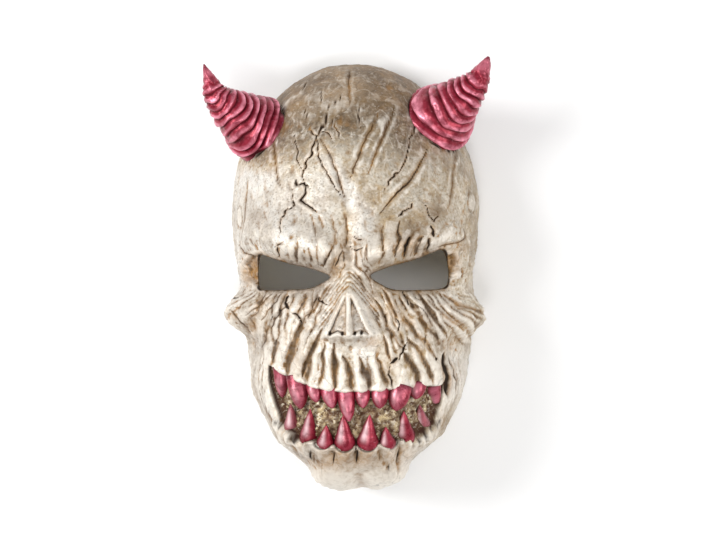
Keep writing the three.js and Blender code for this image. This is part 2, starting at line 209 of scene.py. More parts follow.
# Fine brown lines in soft valleys, written as the cracks are
GROOVES = [
    (1.5, 0.9, [(350, 66), (349, 85), (350, 104)]),
    (1.7, 0.9, [(380, 111), (374, 125), (366, 138), (356, 163), (350, 180)]),
    (1.5, 1.1, [(395, 107), (389, 122), (384, 136), (373, 160), (368, 175)]),
    (2.0, 1.2, [(428, 148), (417, 170), (408, 183), (393, 197), (380, 213)]),
    (1.8, 0.7, [(320, 138), (330, 155), (337, 172), (345, 200)]),
    (1.4, 0.7, [(272, 128), (275, 160), (277, 178), (283, 191)]),
    (1.2, 0.6, [(248, 178), (246, 195), (246, 218), (243, 240)]),
    (1.2, 0.5, [(456, 150), (452, 175), (451, 195), (446, 215)]),
    (1.6, 0.9, [(345, 212), (347, 232), (346, 256)]),
    (1.3, 0.6, [(330, 215), (336, 232), (334, 250)]),
    (1.6, 0.9, [(383, 225), (382, 240), (385, 254)]),
    (1.2, 0.5, [(367, 243), (365, 254), (365, 263)]),
    (1.9, 1.3, [(400, 220), (398, 232), (401, 238), (396, 248), (395, 260)]),
    (2.6, 1.6, [(410, 236), (405, 246), (404, 257)]),
    (1.6, 1.1, [(424, 236), (418, 246), (414, 257)]),
    (1.3, 0.8, [(413, 246), (411, 257)]),
    (1.6, 0.8, [(247, 308), (250, 318), (252, 328)]),
    (1.2, 0.7, [(311, 215), (315, 227), (315, 236)]),
    (1.2, 0.6, [(319, 215), (324, 229)]),
    (1.1, 0.4, [(288, 252), (289, 261)]),
    (1.4, 0.7, [(298, 242), (297, 252), (298, 262)]),
    (1.2, 0.5, [(309, 247), (311, 263)]),
    (1.2, 0.5, [(318, 244), (317, 255), (319, 267)]),
    (1.8, 1.2, [(333, 247), (328, 256), (324, 267)]),
    (1.8, 1.1, [(343, 250), (335, 267)]),
    (1.6, 1.0, [(462, 229), (463, 237), (455, 243), (437, 247)]),
    (1.6, 0.9, [(240, 244), (246, 253), (262, 258)]),
    (1.5, 0.9, [(283, 291), (276, 302), (268, 311), (262, 321)]),
    (1.4, 0.8, [(275, 291), (266, 300), (258, 309), (254, 316)]),
    (1.7, 1.0, [(290, 300), (283, 309), (275, 319), (271, 329)]),
    (1.2, 0.6, [(306, 292), (303, 304), (304, 316)]),
    (1.2, 0.6, [(314, 290), (312, 302), (315, 314)]),
]

# Brown valleys between the roots of the teeth and between the strands, written as the cracks are
VALLEYS = [
    (3.0, 1.4, [(271, 328), (275, 343), (275, 357), (272, 368)]),
    (3.8, 2.6, [(301, 318), (296, 336), (291, 352), (288, 366), (286, 380)]),
    (2.8, 2.4, [(322, 328), (316, 342), (310, 354), (305, 366), (303, 378)]),
    (3.2, 1.8, [(311, 358), (307, 374), (305, 390)]),
    (1.9, 1.5, [(324, 344), (325, 358), (322, 372), (320, 394)]),
    (3.0, 1.8, [(333, 343), (336, 360), (335, 375), (334, 396)]),
    (3.2, 2.0, [(344, 356), (347, 368), (351, 378), (353, 396)]),
    (3.2, 2.0, [(360, 358), (365, 371), (369, 381), (370, 398)]),
    (3.0, 1.6, [(376, 358), (381, 371), (386, 382), (388, 397)]),
    (3.2, 2.2, [(402, 352), (410, 363), (415, 374), (416, 391)]),
    (2.6, 1.8, [(407, 337), (415, 347), (423, 358), (428, 369), (429, 386)]),
    (1.8, 1.3, [(384, 336), (387, 348), (391, 360)]),
    (2.4, 1.7, [(376, 300), (384, 314), (389, 327), (397, 339), (405, 350)]),
    (2.4, 1.7, [(381, 288), (388, 300), (394, 311), (398, 320)]),
    (3.2, 1.7, [(398, 310), (407, 324), (417, 335), (428, 347), (436, 358)]),
    (2.0, 1.4, [(415, 291), (423, 302), (432, 314), (441, 327), (446, 336)]),
    (2.0, 1.3, [(427, 297), (437, 309), (448, 320), (456, 331)]),
    (2.2, 1.3, [(410, 304), (418, 315), (428, 328), (438, 339)]),
    (1.6, 1.0, [(441, 294), (452, 305), (463, 314)]),
    (1.7, 1.0, [(330, 283), (323, 296), (315, 309), (309, 318)]),
    (2.2, 1.1, [(334, 440), (335, 452), (333, 464)]),
    (2.4, 1.3, [(316, 434), (316, 446), (317, 459)]),
    (3.4, 1.7, [(355, 436), (356, 448), (358, 463)]),
    (2.6, 1.6, [(377, 438), (378, 450), (382, 461), (387, 468)]),
    (2.6, 1.5, [(395, 436), (396, 448), (395, 462), (392, 470)]),
    (2.0, 1.2, [(300, 432), (302, 442), (306, 454)]),
    (2.0, 1.2, [(413, 432), (411, 444), (406, 458)]),
]

# Rounded roots and strands between those valleys: width and rise in millimetres, then the line in pixels
RIDGES = [
    (8.0, 1.5, [(262, 338), (266, 350), (270, 366), (276, 384)]),
    (7.0, 2.5, [(293, 314), (289, 330), (284, 346), (280, 360), (276, 378)]),
    (7.5, 2.3, [(312, 322), (305, 340), (300, 356), (296, 372), (293, 388)]),
    (4.5, 1.3, [(316, 352), (314, 366), (312, 380), (311, 394)]),
    (4.5, 1.4, [(329, 348), (329, 364), (328, 380), (327, 398)]),
    (5.0, 1.5, [(340, 350), (342, 364), (343, 380), (343, 398)]),
    (5.0, 1.5, [(354, 352), (357, 368), (360, 382), (361, 398)]),
    (5.5, 1.5, [(370, 352), (375, 368), (379, 382), (379, 398)]),
    (9.5, 1.3, [(396, 358), (399, 370), (402, 382), (403, 398)]),
    (5.5, 1.4, [(411, 348), (419, 360), (422, 374), (422, 394)]),
    (5.5, 1.2, [(427, 350), (434, 364), (436, 376), (436, 392)]),
    (2.4, 1.9, [(386, 320), (392, 331), (399, 341), (406, 349)]),
    (3.2, 1.9, [(385, 330), (389, 344), (394, 358)]),
    (4.2, 2.2, [(409, 291), (418, 304), (427, 316), (436, 328), (443, 338)]),
    (4.4, 2.0, [(421, 291), (431, 302), (442, 314), (451, 326)]),
    (5.0, 1.9, [(434, 294), (446, 308), (458, 320)]),
    (3.2, 1.6, [(386, 288), (392, 300), (399, 312), (408, 330)]),
    (3.2, 1.2, [(283, 300), (277, 310), (272, 320), (268, 328)]),
    (3.0, 1.1, [(270, 294), (261, 303), (255, 314)]),
    (3.4, 1.1, [(305, 322), (308, 312), (308, 300)]),
    (10.0, 0.9, [(377, 233), (374, 248), (372, 267)]),
    (8.0, 1.2, [(392, 218), (391, 244), (386, 268)]),
    (4.8, 1.8, [(409, 229), (402, 244), (399, 262)]),
    (4.0, 1.7, [(417, 232), (411, 248), (408, 261)]),
    (4.6, 1.8, [(428, 235), (421, 248), (414, 260)]),
    (7.5, 1.6, [(450, 226), (443, 240), (428, 251)]),
    (5.0, 1.2, [(358, 246), (361, 256), (362, 266)]),
    (5.0, 0.7, [(282, 246), (284, 259)]),
    (5.0, 1.0, [(292, 238), (293, 262)]),
    (4.0, 0.7, [(301, 248), (301, 263)]),
    (3.6, 0.7, [(308, 250), (309, 264)]),
    (4.4, 0.9, [(314, 240), (316, 267)]),
    (5.4, 1.1, [(324, 236), (321, 264)]),
    (5.4, 1.5, [(335, 246), (328, 269)]),
    (4.6, 1.3, [(346, 258), (341, 268)]),
    (3.0, 1.5, [(453, 264), (458, 278)]),
]

# Brown washes, partly painted shade in the deep places of the face
# In pixels: middle, then half the width and the height in millimetres, and the strength
WASHES = [
    ((335, 268), 5, 7, 0.8), ((374, 276), 6, 4, 0.8), ((347, 250), 4, 13, 0.55), ((253, 270), 5, 8.5, 1.0),
    ((408, 244), 13, 10, 0.7), ((300, 258), 24, 4, 0.35), ((453, 262), 3, 8, 0.8), ((256, 338), 8, 8, 0.4),
    ((448, 345), 9, 6, 0.5), ((397, 312), 11, 15, 0.5), ((434, 212), 8, 6, 0.45), ((258, 218), 7, 5, 0.35),
    ((357, 455), 5, 7, 0.6), ((396, 455), 3, 8, 0.5), ((307, 447), 3, 5, 0.4), ((357, 478), 6, 3, 0.3),
    ((373, 297), 5, 11, 0.5), ((337, 304), 4, 14, 0.4), ((372, 342), 8, 3, 0.6), ((290, 405), 5, 5, 0.5),
    ((460, 248), 5, 4, 0.5), ((380, 262), 9, 3, 0.4), ((388, 372), 4, 10, 0.5), ((300, 360), 9, 12, 0.35),
    ((425, 340), 10, 8, 0.35), ((268, 300), 9, 6, 0.35), ((283, 432), 7, 6, 0.45), ((432, 420), 7, 8, 0.45),
    ((352, 456), 34, 8, 0.85), ((249, 274), 3, 9, 0.9), ((410, 322), 6, 10, 0.5),
]

# Smooth pale blisters in the temples, in pixels: middle, then half the width and the height in millimetres
BLISTERS = [((240, 217), 2.1, 6.2), ((471, 203), 2.1, 6.0)]

# Hollows beside the eye openings, in pixels
EYE_HOLLOWS = [
    [(247, 264), (252, 256), (262, 254), (262, 288), (254, 284), (248, 276)],
    [(446, 256), (452, 254), (455, 264), (452, 276), (446, 280)],
]

# Bulges of the brows, in pixels: middle, then half the width, half the height and the rise in millimetres
BROW_KNOBS = [
    ((376, 254), 10, 9, 2.6), ((312, 240), 17, 9, 2.2), ((268, 232), 13, 9, 1.8), ((440, 236), 10, 8, 1.6),
]

# Lines that the strands of each cheek follow downwards, in pixels, from the nose outwards
RIGHT_STRANDS = [
    [(352, 265), (365, 288), (377, 312), (385, 338), (390, 362)],
    [(374, 262), (392, 292), (406, 318), (418, 345), (426, 372)],
    [(412, 272), (425, 292), (446, 318), (460, 340), (470, 356)],
    [(432, 268), (448, 292), (472, 318), (488, 338)],
]
LEFT_STRANDS = [
    [(350, 265), (340, 290), (328, 315), (318, 337), (312, 352)],
    [(312, 272), (302, 290), (294, 312), (286, 340), (279, 365)],
    [(274, 272), (262, 290), (250, 311), (243, 335)],
    [(256, 270), (245, 290), (231, 313), (222, 330)],
]
STRANDS_PER_LINE = 4

# Bare bone round the opening of the nose, in pixels
NOSE_BONE = [(350, 286), (338, 305), (320, 338), (348, 342), (387, 342), (368, 306)]

# Opening of the nose at the left and the right of its middle bone, and the dark hooks at its foot
NOSTRILS = [
    [(-2, -12), (-2.4, -36.5), (-7.5, -34), (-13.5, -36.5), (-8, -24)],
    [(0.2, -13), (5.5, -24), (11.5, -36.5), (6, -34), (1.0, -36.5)],
]
NOSE_HOOKS = [(-12.4, -35.2), (-4.6, -35.4), (3.0, -35.4), (7.0, -35.2)]

# Dark slots between the teeth and the branches of the jaw: width in millimetres, then the line in pixels
JAW_SLOTS = [
    (3.6, [(444, 350), (443, 365), (443, 380), (441, 394)]),
    (1.0, [(451, 356), (452, 372), (450, 388)]),
]

# Outer skin and lining: places where the spacing of the grid changes, and the steps up to each
GRID_ACROSS = [(-999, 0), (-66, 34), (-24, 62), (24, 90), (66, 62), (999, 34)]
GRID_ALONG = [(-999, 0), (-124, 28), (-20, 134), (20, 54), (104, 94), (999, 20)]
LINING_ACROSS = [(-999, 0), (-66, 10), (66, 36), (999, 10)]
LINING_ALONG = [(-999, 0), (-120, 6), (104, 64), (999, 6)]

# Half the width and the height of the skin laid flat, for the random patterns
PATTERN_SIZE = (137, 184)

# Normals are taken this little inside the outline, where they are steady
NORMAL_AT = 0.998

# Direction of up, as a column
UP = np.array([[0.0], [0.0], [1.0]])

# Studio in metres and watts: name, place, size and power of each light, where they aim, and the floor
LIGHTS = [
    ("key", (-1.05, 0.3, 1.05), 0.75, 17.6),
    ("fill", (1.0, -0.2, 0.9), 0.8, 8.9),
    ("front", (-0.1, -0.75, 1.9), 0.6, 8.8),
]
LIGHT_TARGET = Vector((0, 0, 0.05))
WORLD_STRENGTH = 0.45
FLOOR_HALF = 4.0
FLOOR_Z = -0.0003
FLOOR_GREYS = (238.61, 243.45)


# Small curves


def smooth(start, end, t):
    """0 before the start and 1 after the end, level at both. It falls where the start is the larger."""
    s = np.clip((t - start) / (end - start), 0, 1)
    return s * s * (3 - 2 * s)


def bell(t):
    return np.exp(-t * t)


def block(t):
    """A bell with a flat top and steep sides."""
    return np.exp(-(t**4))


def mix(a, b, t):
    return a + (b - a) * t


def waves(phase, power):
    """Rounded folds from 0 to 1, with a sharp valley at each whole number."""
    return np.abs(np.sin(math.pi * phase)) ** power


def through(points, t):
    """A smooth curve through (t, value) points, level at both ends."""
    knots, values = np.array(points, float).T
    slopes = np.zeros(len(values))
    slopes[1:-1] = (values[2:] - values[:-2]) / (knots[2:] - knots[:-2])
    i = np.clip(np.searchsorted(knots, t, side="right") - 1, 0, len(knots) - 2)
    span = knots[i + 1] - knots[i]
    s = np.clip((t - knots[i]) / span, 0, 1)
    bend = slopes[i] * (1 - s) - slopes[i + 1] * s
    return mix(values[i], values[i + 1], s * s * (3 - 2 * s)) + bend * span * s * (1 - s)


def noise(x, y, seed):
    """Smooth random values from -1 to 1, about one bump to a unit."""
    table = np.random.default_rng(seed).uniform(-1, 1, (64, 64))
    column = np.floor(x).astype(int)
    row = np.floor(y).astype(int)
    s = smooth(0, 1, x - column)
    t = smooth(0, 1, y - row)

    def at(i, j):
        return table[(column + i) % 64, (row + j) % 64]

    return mix(mix(at(0, 0), at(1, 0), s), mix(at(0, 1), at(1, 1), s), t)


def creases(x, y, seed):
    """Random sharp ridges from -1 to 1."""
    return 1 - 2 * np.abs(noise(x, y, seed))


def flakes(x, y, seed):
    """Small plates with sharp edges, from 0 to 1."""
    return smooth(-0.07, 0.07, noise(x, y, seed))


# Lines and outlines


def spline(points, steps):
    """A smooth curve through all the points but the first and the last, which only lead in and out."""
    curve = []
    for p0, p1, p2, p3 in zip(points, points[1:], points[2:], points[3:]):
        for t in np.linspace(0, 1, steps, endpoint=False):
            bend = (2 * p0 - 5 * p1 + 4 * p2 - p3) * t * t + (3 * p1 - p0 - 3 * p2 + p3) * t**3
            curve.append(p1 + 0.5 * ((p2 - p0) * t + bend))
    return np.array(curve)


def closed(outline):
    outline = np.asarray(outline, float)
    return np.vstack([outline, outline[:1]])


def lengths_along(line):
    """How far along a line each of its points lies."""
    steps = np.linalg.norm(np.diff(line, axis=0), axis=1)
    return np.concatenate([[0], np.cumsum(steps)])


def follow(x, y, line):
    """How far points are from a line, and how far along it the nearest place is, from 0 to 1."""
    line = np.asarray(line, float)
    lengths = lengths_along(line)
    shares = lengths / lengths[-1]
    nearest = np.full(len(x), 1e9)
    along = np.zeros(len(x))
    for (x0, y0), (dx, dy), share, next_share in zip(line, np.diff(line, axis=0), shares, shares[1:]):
        t = np.clip(((x - x0) * dx + (y - y0) * dy) / (dx * dx + dy * dy), 0, 1)
        distance = np.hypot(x - x0 - t * dx, y - y0 - t * dy)
        along = np.where(distance < nearest, mix(share, next_share, t), along)
        nearest = np.minimum(distance, nearest)
    return nearest, along


def inside(x, y, corners, soft):
    """1 inside an outline and 0 outside it, with a soft edge, and how deep inside it points are."""
    line = closed(corners)
    within = np.zeros(len(x), bool)
    for (x0, y0), (x1, y1) in zip(line, line[1:]):
        if y0 != y1:
            within ^= ((y0 > y) != (y1 > y)) & (x < (x1 - x0) * (y - y0) / (y1 - y0) + x0)
    nearest, _ = follow(x, y, line)
    signed = np.where(within, nearest, -nearest)
    return smooth(-soft, soft, signed), signed


# Broad forms


def upper_gum(x):
    return UPPER_GUM_Y + np.where(x < 0, 0.0062, 0.0012) * x * x


def lower_gum(x):
    return LOWER_GUM_Y + 0.0042 * (x - 2) ** 2 + 3.3e-6 * (x - 2) ** 4


def broad(x, y, z):
    """How far the forms of the skull stand out from the plain dome."""
    s = np.abs(x)
    knob_y = np.where(x < 0, *KNOB_Y)
    crest = 10 + (s - 6) * 0.25
    brow = BROW * bell((y - crest) / np.where(y < crest, 8, 17)) * smooth(1, 13, s) * smooth(72, 58, s)
    furrow = FURROW * bell(x / 5) * smooth(0, 14, y) * smooth(60, 38, y)
    socket = SOCKET * block((s - 37) / 26) * bell((y + 1) / np.where(y < -1, 11, 14))
    knob = CHEEKBONE * bell((s - 76) / 13) * block((y - knob_y) / 13) * bell((z - 50) / 26)
    arch_y = mix(-19, knob_y, smooth(30, 70, s))
    arch = ARCH * bell((y - arch_y) / 9) * smooth(12, 28, s) * smooth(84, 68, s) * smooth(8, 40, z)
    hollow = CHEEK_HOLLOW * bell((s - 60) / 9) * bell((y + 48) / 12) * smooth(10, 45, z)
    temple = TEMPLE * bell((s - 70) / 9) * bell((y - 6) / 16) * smooth(10, 40, z)
    nose_width = mix(6, 18, smooth(6, -38, y))
    nose = NOSE * bell(s / nose_width) * smooth(10, -14, y) * smooth(-46, -34, y)
    muzzle = MUZZLE * block(s / 55) * smooth(-20, -48, y) * smooth(-122, -92, y)
    chin = CHIN * bell((s - 17) / 12) * bell((y + 122) / 9) * smooth(30, 60, z)
    return brow - furrow - socket + knob + arch - hollow + temple + nose + muzzle + chin


def gum_scallops(x, teeth, reach):
    """1 over the middle of each tooth and 0 between two teeth."""
    return sum(bell((x - centre) / (reach * width)) for centre, width, _, _ in teeth)


def mouth_depth(x, y, soft, end, corner):
    """1 on the floor of the mouth and 0 on the gums.

    soft is the width of the edge and end the length of the ends. corner is how much softer the edge is at
    the lower corners.
    """
    top = upper_gum(x) - 1.2 * gum_scallops(x, UPPER_TEETH, 0.42) + 0.6
    sill = lower_gum(x) - 3.2 * gum_scallops(x, LOWER_TEETH, 0.4) + 1.0
    steep = np.hypot(1, lower_gum(x + 0.5) - lower_gum(x - 0.5))
    edge = soft / 2 * steep * mix(1, corner, smooth(28, 38, np.abs(x)))
    between = smooth(top + soft / 2, top - soft / 2, y) * smooth(sill - edge, sill + edge, y)
    return between * smooth(MOUTH[0] - end, MOUTH[0], x) * smooth(MOUTH[1] + end, MOUTH[1], x)


def lowest(x, y, z):
    """The lowest broad form round a point, so that the wall keeps its thickness beside a step."""

    def form(u, v):
        nose = (v < -10) & (v > -36) & (np.abs(u + 1) < mix(0, 13.5, smooth(-10, -36, v)))
        deep = np.maximum(mouth_depth(u, v, soft=1, end=1, corner=1), nose)
        return broad(u, v, z) - (RECESS + BACKING) * deep

    h = form(x, y)
    for turn in np.arange(8) * math.pi / 4:
        h = np.minimum(h, form(x + LINING_REACH * math.cos(turn), y + LINING_REACH * math.sin(turn)))
    return h


# Dome and camera


def head_radius(x, y):
    """Outline radius and squareness of the dome in the direction of x, y."""
    degrees = np.degrees(np.arctan2(y, np.abs(x)))
    return through(OUTLINE, degrees), through(FULLNESS, degrees)


def dome_point(a, b):
    """A point of the plain dome for a point of the unit disc, and how near it is to the outline."""
    rho = np.maximum(np.hypot(a, b), 1e-6)
    outline, p = head_radius(a, b)
    side = np.sin(rho * math.pi / 2)
    rise = np.maximum(0, np.cos(rho * math.pi / 2))
    s = (side**p + rise**p) ** (-1 / p)
    reach = side * s * outline / rho
    return np.array([a * reach, b * reach, DOME * rise * s]), side * s


def dome_normal(a, b):
    e = 1e-3
    across = dome_point(a + e, b)[0] - dome_point(a - e, b)[0]
    along = dome_point(a, b + e)[0] - dome_point(a, b - e)[0]
    normal = np.cross(across, along, axis=0)
    return normal / np.linalg.norm(normal, axis=0)


def skin_height(x, y):
    """Height of the broad forms over a point of the face."""
    outline, p = head_radius(x, y)
    r = np.minimum(1, np.hypot(x, y) / outline)
    z = DOME * (1 - r**p) ** (1 / p)
    return z + broad(x, y, z)


def on_face(pixels):
    """Where the camera sees pixels of the photograph on the face, found in a few steps."""
    px, py = np.array(pixels, float).T
    across = px - EYE_PIXEL[0]
    rise = EYE_PIXEL[1] - py
    z = np.full(len(px), FIRST_GUESS_Z)
    for _ in range(4):
        scale = MM_PER_PIXEL * (1 - (z - LOOK_Z) / CAMERA_DISTANCE)
        x = (across + CAMERA_ROLL * rise) * scale + (z - LOOK_Z) * CAMERA_YAW
        y = (rise - CAMERA_ROLL * across) * scale
        z = skin_height(x, y)
    return np.column_stack([x, y])


# Fine carving


class Relief:
    """Carving and paint at the points of the skin.

    height stands over the broad forms. dark, ochre and pale are coats of paint from 0 to 1, and mouth is 1
    on the floor of the mouth. In places dark is painted shade and pale is painted highlight. shade is
    how strongly the paint shows hollows and ridges, and cavity is how far a point stands out from its
    neighbours. p and q are places for the random patterns.
    """

    def __init__(self, x, y, z, r, p, q):
        self.x, self.y, self.z, self.r, self.p, self.q = x, y, z, r, p, q
        self.height, self.dark, self.ochre, self.pale = np.zeros((4, len(x)))
        self.shade = np.ones(len(x))
        self.front = z > STROKES_FROM

    def coat(self, where=slice(None), **paints):
        """Raises each kind of paint to an amount, where there isn't more of it already."""
        for name, amount in paints.items():
            paint = getattr(self, name)
            paint[where] = np.maximum(paint[where], amount)

    def wipe(self, **paints):
        """Takes away a share of each kind of paint."""
        for name, share in paints.items():
            setattr(self, name, getattr(self, name) * (1 - share))

    def cut(self, shape, depth, **paints):
        """Lowers the skin by a shape, and lays paint where it is."""
        self.height -= depth * shape
        self.coat(**{name: amount * shape for name, amount in paints.items()})

    def oval(self, pixel, half_width, half_height):
        """How far points are from the middle of an oval of the photograph: 1 on its edge."""
        x, y = on_face([pixel])[0]
        return np.hypot((self.x - x) / half_width, (self.y - y) / half_height)

    def drawn(self, pixels, jitter, grain):
        """Points near a line of the photograph, how far each is from it, and how full the line is there.

        The line wanders by the jitter, has no width at its ends, and runs out on the steep sides.
        """
        line = on_face(pixels)
        low = line.min(axis=0) - 8
        high = line.max(axis=0) + 8
        near = (self.x > low[0]) & (self.x < high[0]) & (self.y > low[1]) & (self.y < high[1])
        i = np.nonzero(near & self.front)[0]
        x, y = self.x[i], self.y[i]
        shift_x, shift_y = (jitter * noise(x / grain, y / grain, seed) for seed in (1, 2))
        distance, along = follow(x + shift_x, y + shift_y, line)
        return i, distance + 9 * smooth(36, 18, self.z[i]), 1 - np.abs(2 * along - 1) ** 3


def cracks(relief):
    """Thin black cracks with raised pale lips."""
    for width, depth, pixels in CRACKS:
        i, distance, full = relief.drawn(pixels, 0.8, 2.4)
        shape = bell(distance / (0.3 * width * full + 0.12))
        lips = full * bell((distance - 0.8 * width) / (0.5 * width))
        relief.height[i] += depth * (0.35 * lips - shape)
        brown = 0.6 * full * bell(distance / width)
        relief.coat(i, dark=(0.6 + 0.28 * width) * shape, ochre=brown, pale=0.4 * lips)


def grooves(relief):
    """Thin brown lines, each in a soft valley."""
    for width, depth, pixels in GROOVES:
        i, distance, full = relief.drawn(pixels, 0.5, 3)
        valley = full * bell(distance / (1.1 * width))
        core = bell(distance / (0.22 * width * full + 0.18))
        lips = full * bell((distance - 1.5 * width) / (0.6 * width))
        relief.height[i] -= depth * (0.5 * valley + 0.7 * core - 0.25 * lips)
        relief.coat(i, dark=0.42 * width * core, ochre=0.4 * valley + 0.5 * core, pale=0.25 * lips)


def ridges(relief):
    """Rounded pale roots, strands and folds."""
    for width, rise, pixels in RIDGES:
        i, distance, full = relief.drawn(pixels, 1.1, 6)
        shape = np.maximum(0, 1 - (2 * distance / width) ** 2) * full**0.5
        relief.height[i] += rise * shape
        relief.coat(i, pale=0.8 * smooth(0.3, 0.95, shape))


def valleys(relief):
    """Brown valleys with a dark line here and there along the bottom, darkest at the upper gum."""
    for width, depth, pixels in VALLEYS:
        i, distance, full = relief.drawn(pixels, 1.3, 6)
        x, y = relief.x[i], relief.y[i]
        shape = bell(distance / (0.46 * width * full + 0.15))
        relief.height[i] -= depth * shape
        relief.pale[i] *= 1 - shape
        patchy = smooth(-0.35, 0.35, noise(x / 3, y / 6, 3))
        wedge = bell((y - upper_gum(x) - 5) / 5)
        line = bell(distance / ((0.18 + 0.1 * wedge) * width * full + 0.15))
        brown = 0.9 * bell(distance / (0.56 * width * full + 0.15))
        relief.coat(i, ochre=brown, dark=(0.5 * patchy + 0.3 * wedge) * line)


def washes(relief):
    """Broad brown washes in the deep places of the face and over the crown, partly painted shade."""
    for pixel, half_width, half_height, strength in WASHES:
        relief.coat(ochre=strength * bell(relief.oval(pixel, half_width, half_height)) * relief.front)
    # Brown over the crown, partly painted shade on the top of the head
    relief.coat(ochre=0.4 * smooth(88, 114, relief.y))


def blisters(relief):
    """Smooth pale ovals in the temples, each with a thin dark line round it."""
    for oval in BLISTERS:
        d = np.where(relief.front, relief.oval(*oval), 9)
        ring = bell((d - 1.15) / 0.2)
        relief.height += 0.9 * np.sqrt(np.maximum(0, 1 - d * d)) - 0.4 * ring
        relief.coat(pale=0.6 * smooth(1.0, 0.7, d), dark=0.36 * ring)


def strand_number(relief, lines):
    """Which strand of a cheek each point lies on, counted from the nose."""
    at = []
    for x, y in (on_face(line).T for line in lines):
        down = np.argsort(y)
        at.append(np.interp(relief.y, y[down], x[down]))
    number = sum(np.clip((relief.x - near) / (far - near), 0, 1) for near, far in zip(at, at[1:]))
    return number * STRANDS_PER_LINE


def cheek_strands(relief):
    """Fine torn strands that run from the nose and the eyes down over the cheekbones."""
    x, y = relief.x, relief.y
    for side, lines, eye_y in ((-1, LEFT_STRANDS, -7.5), (1, RIGHT_STRANDS, -9.5)):
        s = side * x
        number = strand_number(relief, lines)
        last = STRANDS_PER_LINE * (len(lines) - 1)
        n = number + 0.6 * noise(x / 12, y / 12, 5) + 0.25 * noise(x / 4, y / 5, 6)
        cell = np.floor(n)
        bulk = 0.7 + 0.8 * noise(cell * 3.7, y / 9, 7)
        ridge = waves(n - cell, 0.7)
        eye_edge = np.where(s > 14, eye_y, 20)
        where = smooth(eye_edge + 1, eye_edge - 5, y) * smooth(-56, -40, y)
        where = where * smooth(7, 12, s + 0.55 * (y + 12)) * smooth(76, 66, s)
        where = where * smooth(last, last - 2.5, number)
        patchy = smooth(-0.4, 0.4, noise(x / 7, y / 9, 10))
        relief.height += where * 1.8 * bulk * (ridge - 0.6)
        # Pale paint on the tops of the strands; the extra at the right cheek is painted light
        relief.coat(
            pale=(1 + 0.2 * side) * where * bulk * smooth(0.72, 0.96, ridge),
            ochre=where * (1 - ridge) ** 0.7 * mix(0.4, 1, patchy),
            dark=0.6 * where * patchy * smooth(0.5, 0.15, ridge),
        )
        gash = where * smooth(0.2, 0.5, noise(cell * 5.3, y / 5, 8)) * bell((n - cell - 0.04) / 0.1)
        relief.cut(gash * smooth(56, 50, s), 0.6, dark=0.7)


def cheek_knobs(relief):
    """Rough lumps at the ends of the cheekbones."""
    p, q = relief.p, relief.q
    where = smooth(62, 72, np.abs(relief.x)) * bell((relief.y + 25) / 14) * smooth(15, 30, relief.z)
    relief.height += where * (1.6 * noise(p / 7, q / 7, 45) + 0.7 * creases(p / 4, q / 4, 46))


def chevrons(relief):
    """Folds that meet in an arch over the bridge of the nose and run down its sides."""
    x, y = relief.x, relief.y
    s = np.sqrt((x + 0.3) ** 2 + 5)
    level = y + 1.3 * s - 2.4
    where = smooth(-11.5, -9.5, level) * smooth(6, 3, level) * smooth(24, 15, s)
    where = where * smooth(-38, -26, y) * np.where(x > 0, 1, 0.6)
    fold = waves((level + 9.5) / 2.9 + 0.2 * noise(x / 5, y / 5, 11), 0.9)
    relief.height += where * (1.3 * fold - 0.8)
    pale = 0.7 * where * smooth(0.75, 1, fold)
    relief.coat(ochre=0.9 * where * (1 - fold) ** 1.5, dark=0.55 * where * smooth(0.4, 0, fold), pale=pale)


def nose_bone(relief):
    """The bare bone round the opening of the nose."""
    x, y = relief.x, relief.y
    bone, depth = inside(x, y, on_face(NOSE_BONE), 1.6)
    bone = bone * smooth(-43, -34, y)
    relief.height += 2.2 * bell((y + 46) / 6) * bell((x - 1) / 14)
    relief.height = mix(relief.height, 0.35 * relief.height + 1.0, bone)
    edge = smooth(-38, -32, y)
    frame = edge * bell((depth - 1.5) / 1.6)
    relief.height += 0.7 * frame
    relief.wipe(ochre=0.8 * bone, dark=bone)
    relief.coat(dark=0.5 * edge * bell((depth + 0.8) / 0.6) * smooth(-6, -14, y), pale=0.55 * frame)


def nostrils(relief):
    """The two hollows of the nose, with small dark hooks at their feet."""
    x, y = relief.x, relief.y
    for seed, outline in zip((13, 14), NOSTRILS):
        hole, depth = inside(x, y, outline, 0.8)
        bed = 0.5 * noise(x / 2.0, y / 2.4, seed) - 0.8 * bell((depth - 0.6) / 0.6)
        relief.height -= hole * (1.3 - bed)
        relief.wipe(shade=0.65 * hole)
        shaded = np.where(x < x[depth > 0].mean(), 0.7, 0.42)
        frame = bell((depth + 1.8) / 1.3) * smooth(-38.5, -36, y)
        relief.height += 0.9 * frame
        relief.coat(dark=shaded * bell((depth - 0.3) / 0.6), ochre=0.2 * hole, pale=0.5 * frame)
    for hook_x, hook_y in NOSE_HOOKS:
        relief.cut(bell(np.hypot((x - hook_x) / 1.2, (y - hook_y) / 1.8)), 1.2, dark=1.0)


def septum(relief):
    """The thin bone in the middle of the opening of the nose."""
    y = relief.y
    bone = block((relief.x + 0.3) / mix(0.6, 1.9, smooth(-12, -34, y)))
    bone = bone * smooth(-13, -16, y) * smooth(-40, -37, y)
    relief.height += 0.7 * bone
    relief.wipe(dark=bone)
    relief.coat(pale=bone)


def collars(relief):
    """White collars of bone round the feet of the upper teeth."""
    x = relief.x
    collar = gum_scallops(x, UPPER_TEETH, 0.5) * bell((relief.y - upper_gum(x) - 1.6) / 2.4)
    collar = collar * block((x - 2) / 51)
    relief.height += 1.4 * collar
    relief.wipe(dark=0.7 * collar, ochre=0.8 * collar)
    relief.coat(pale=collar)


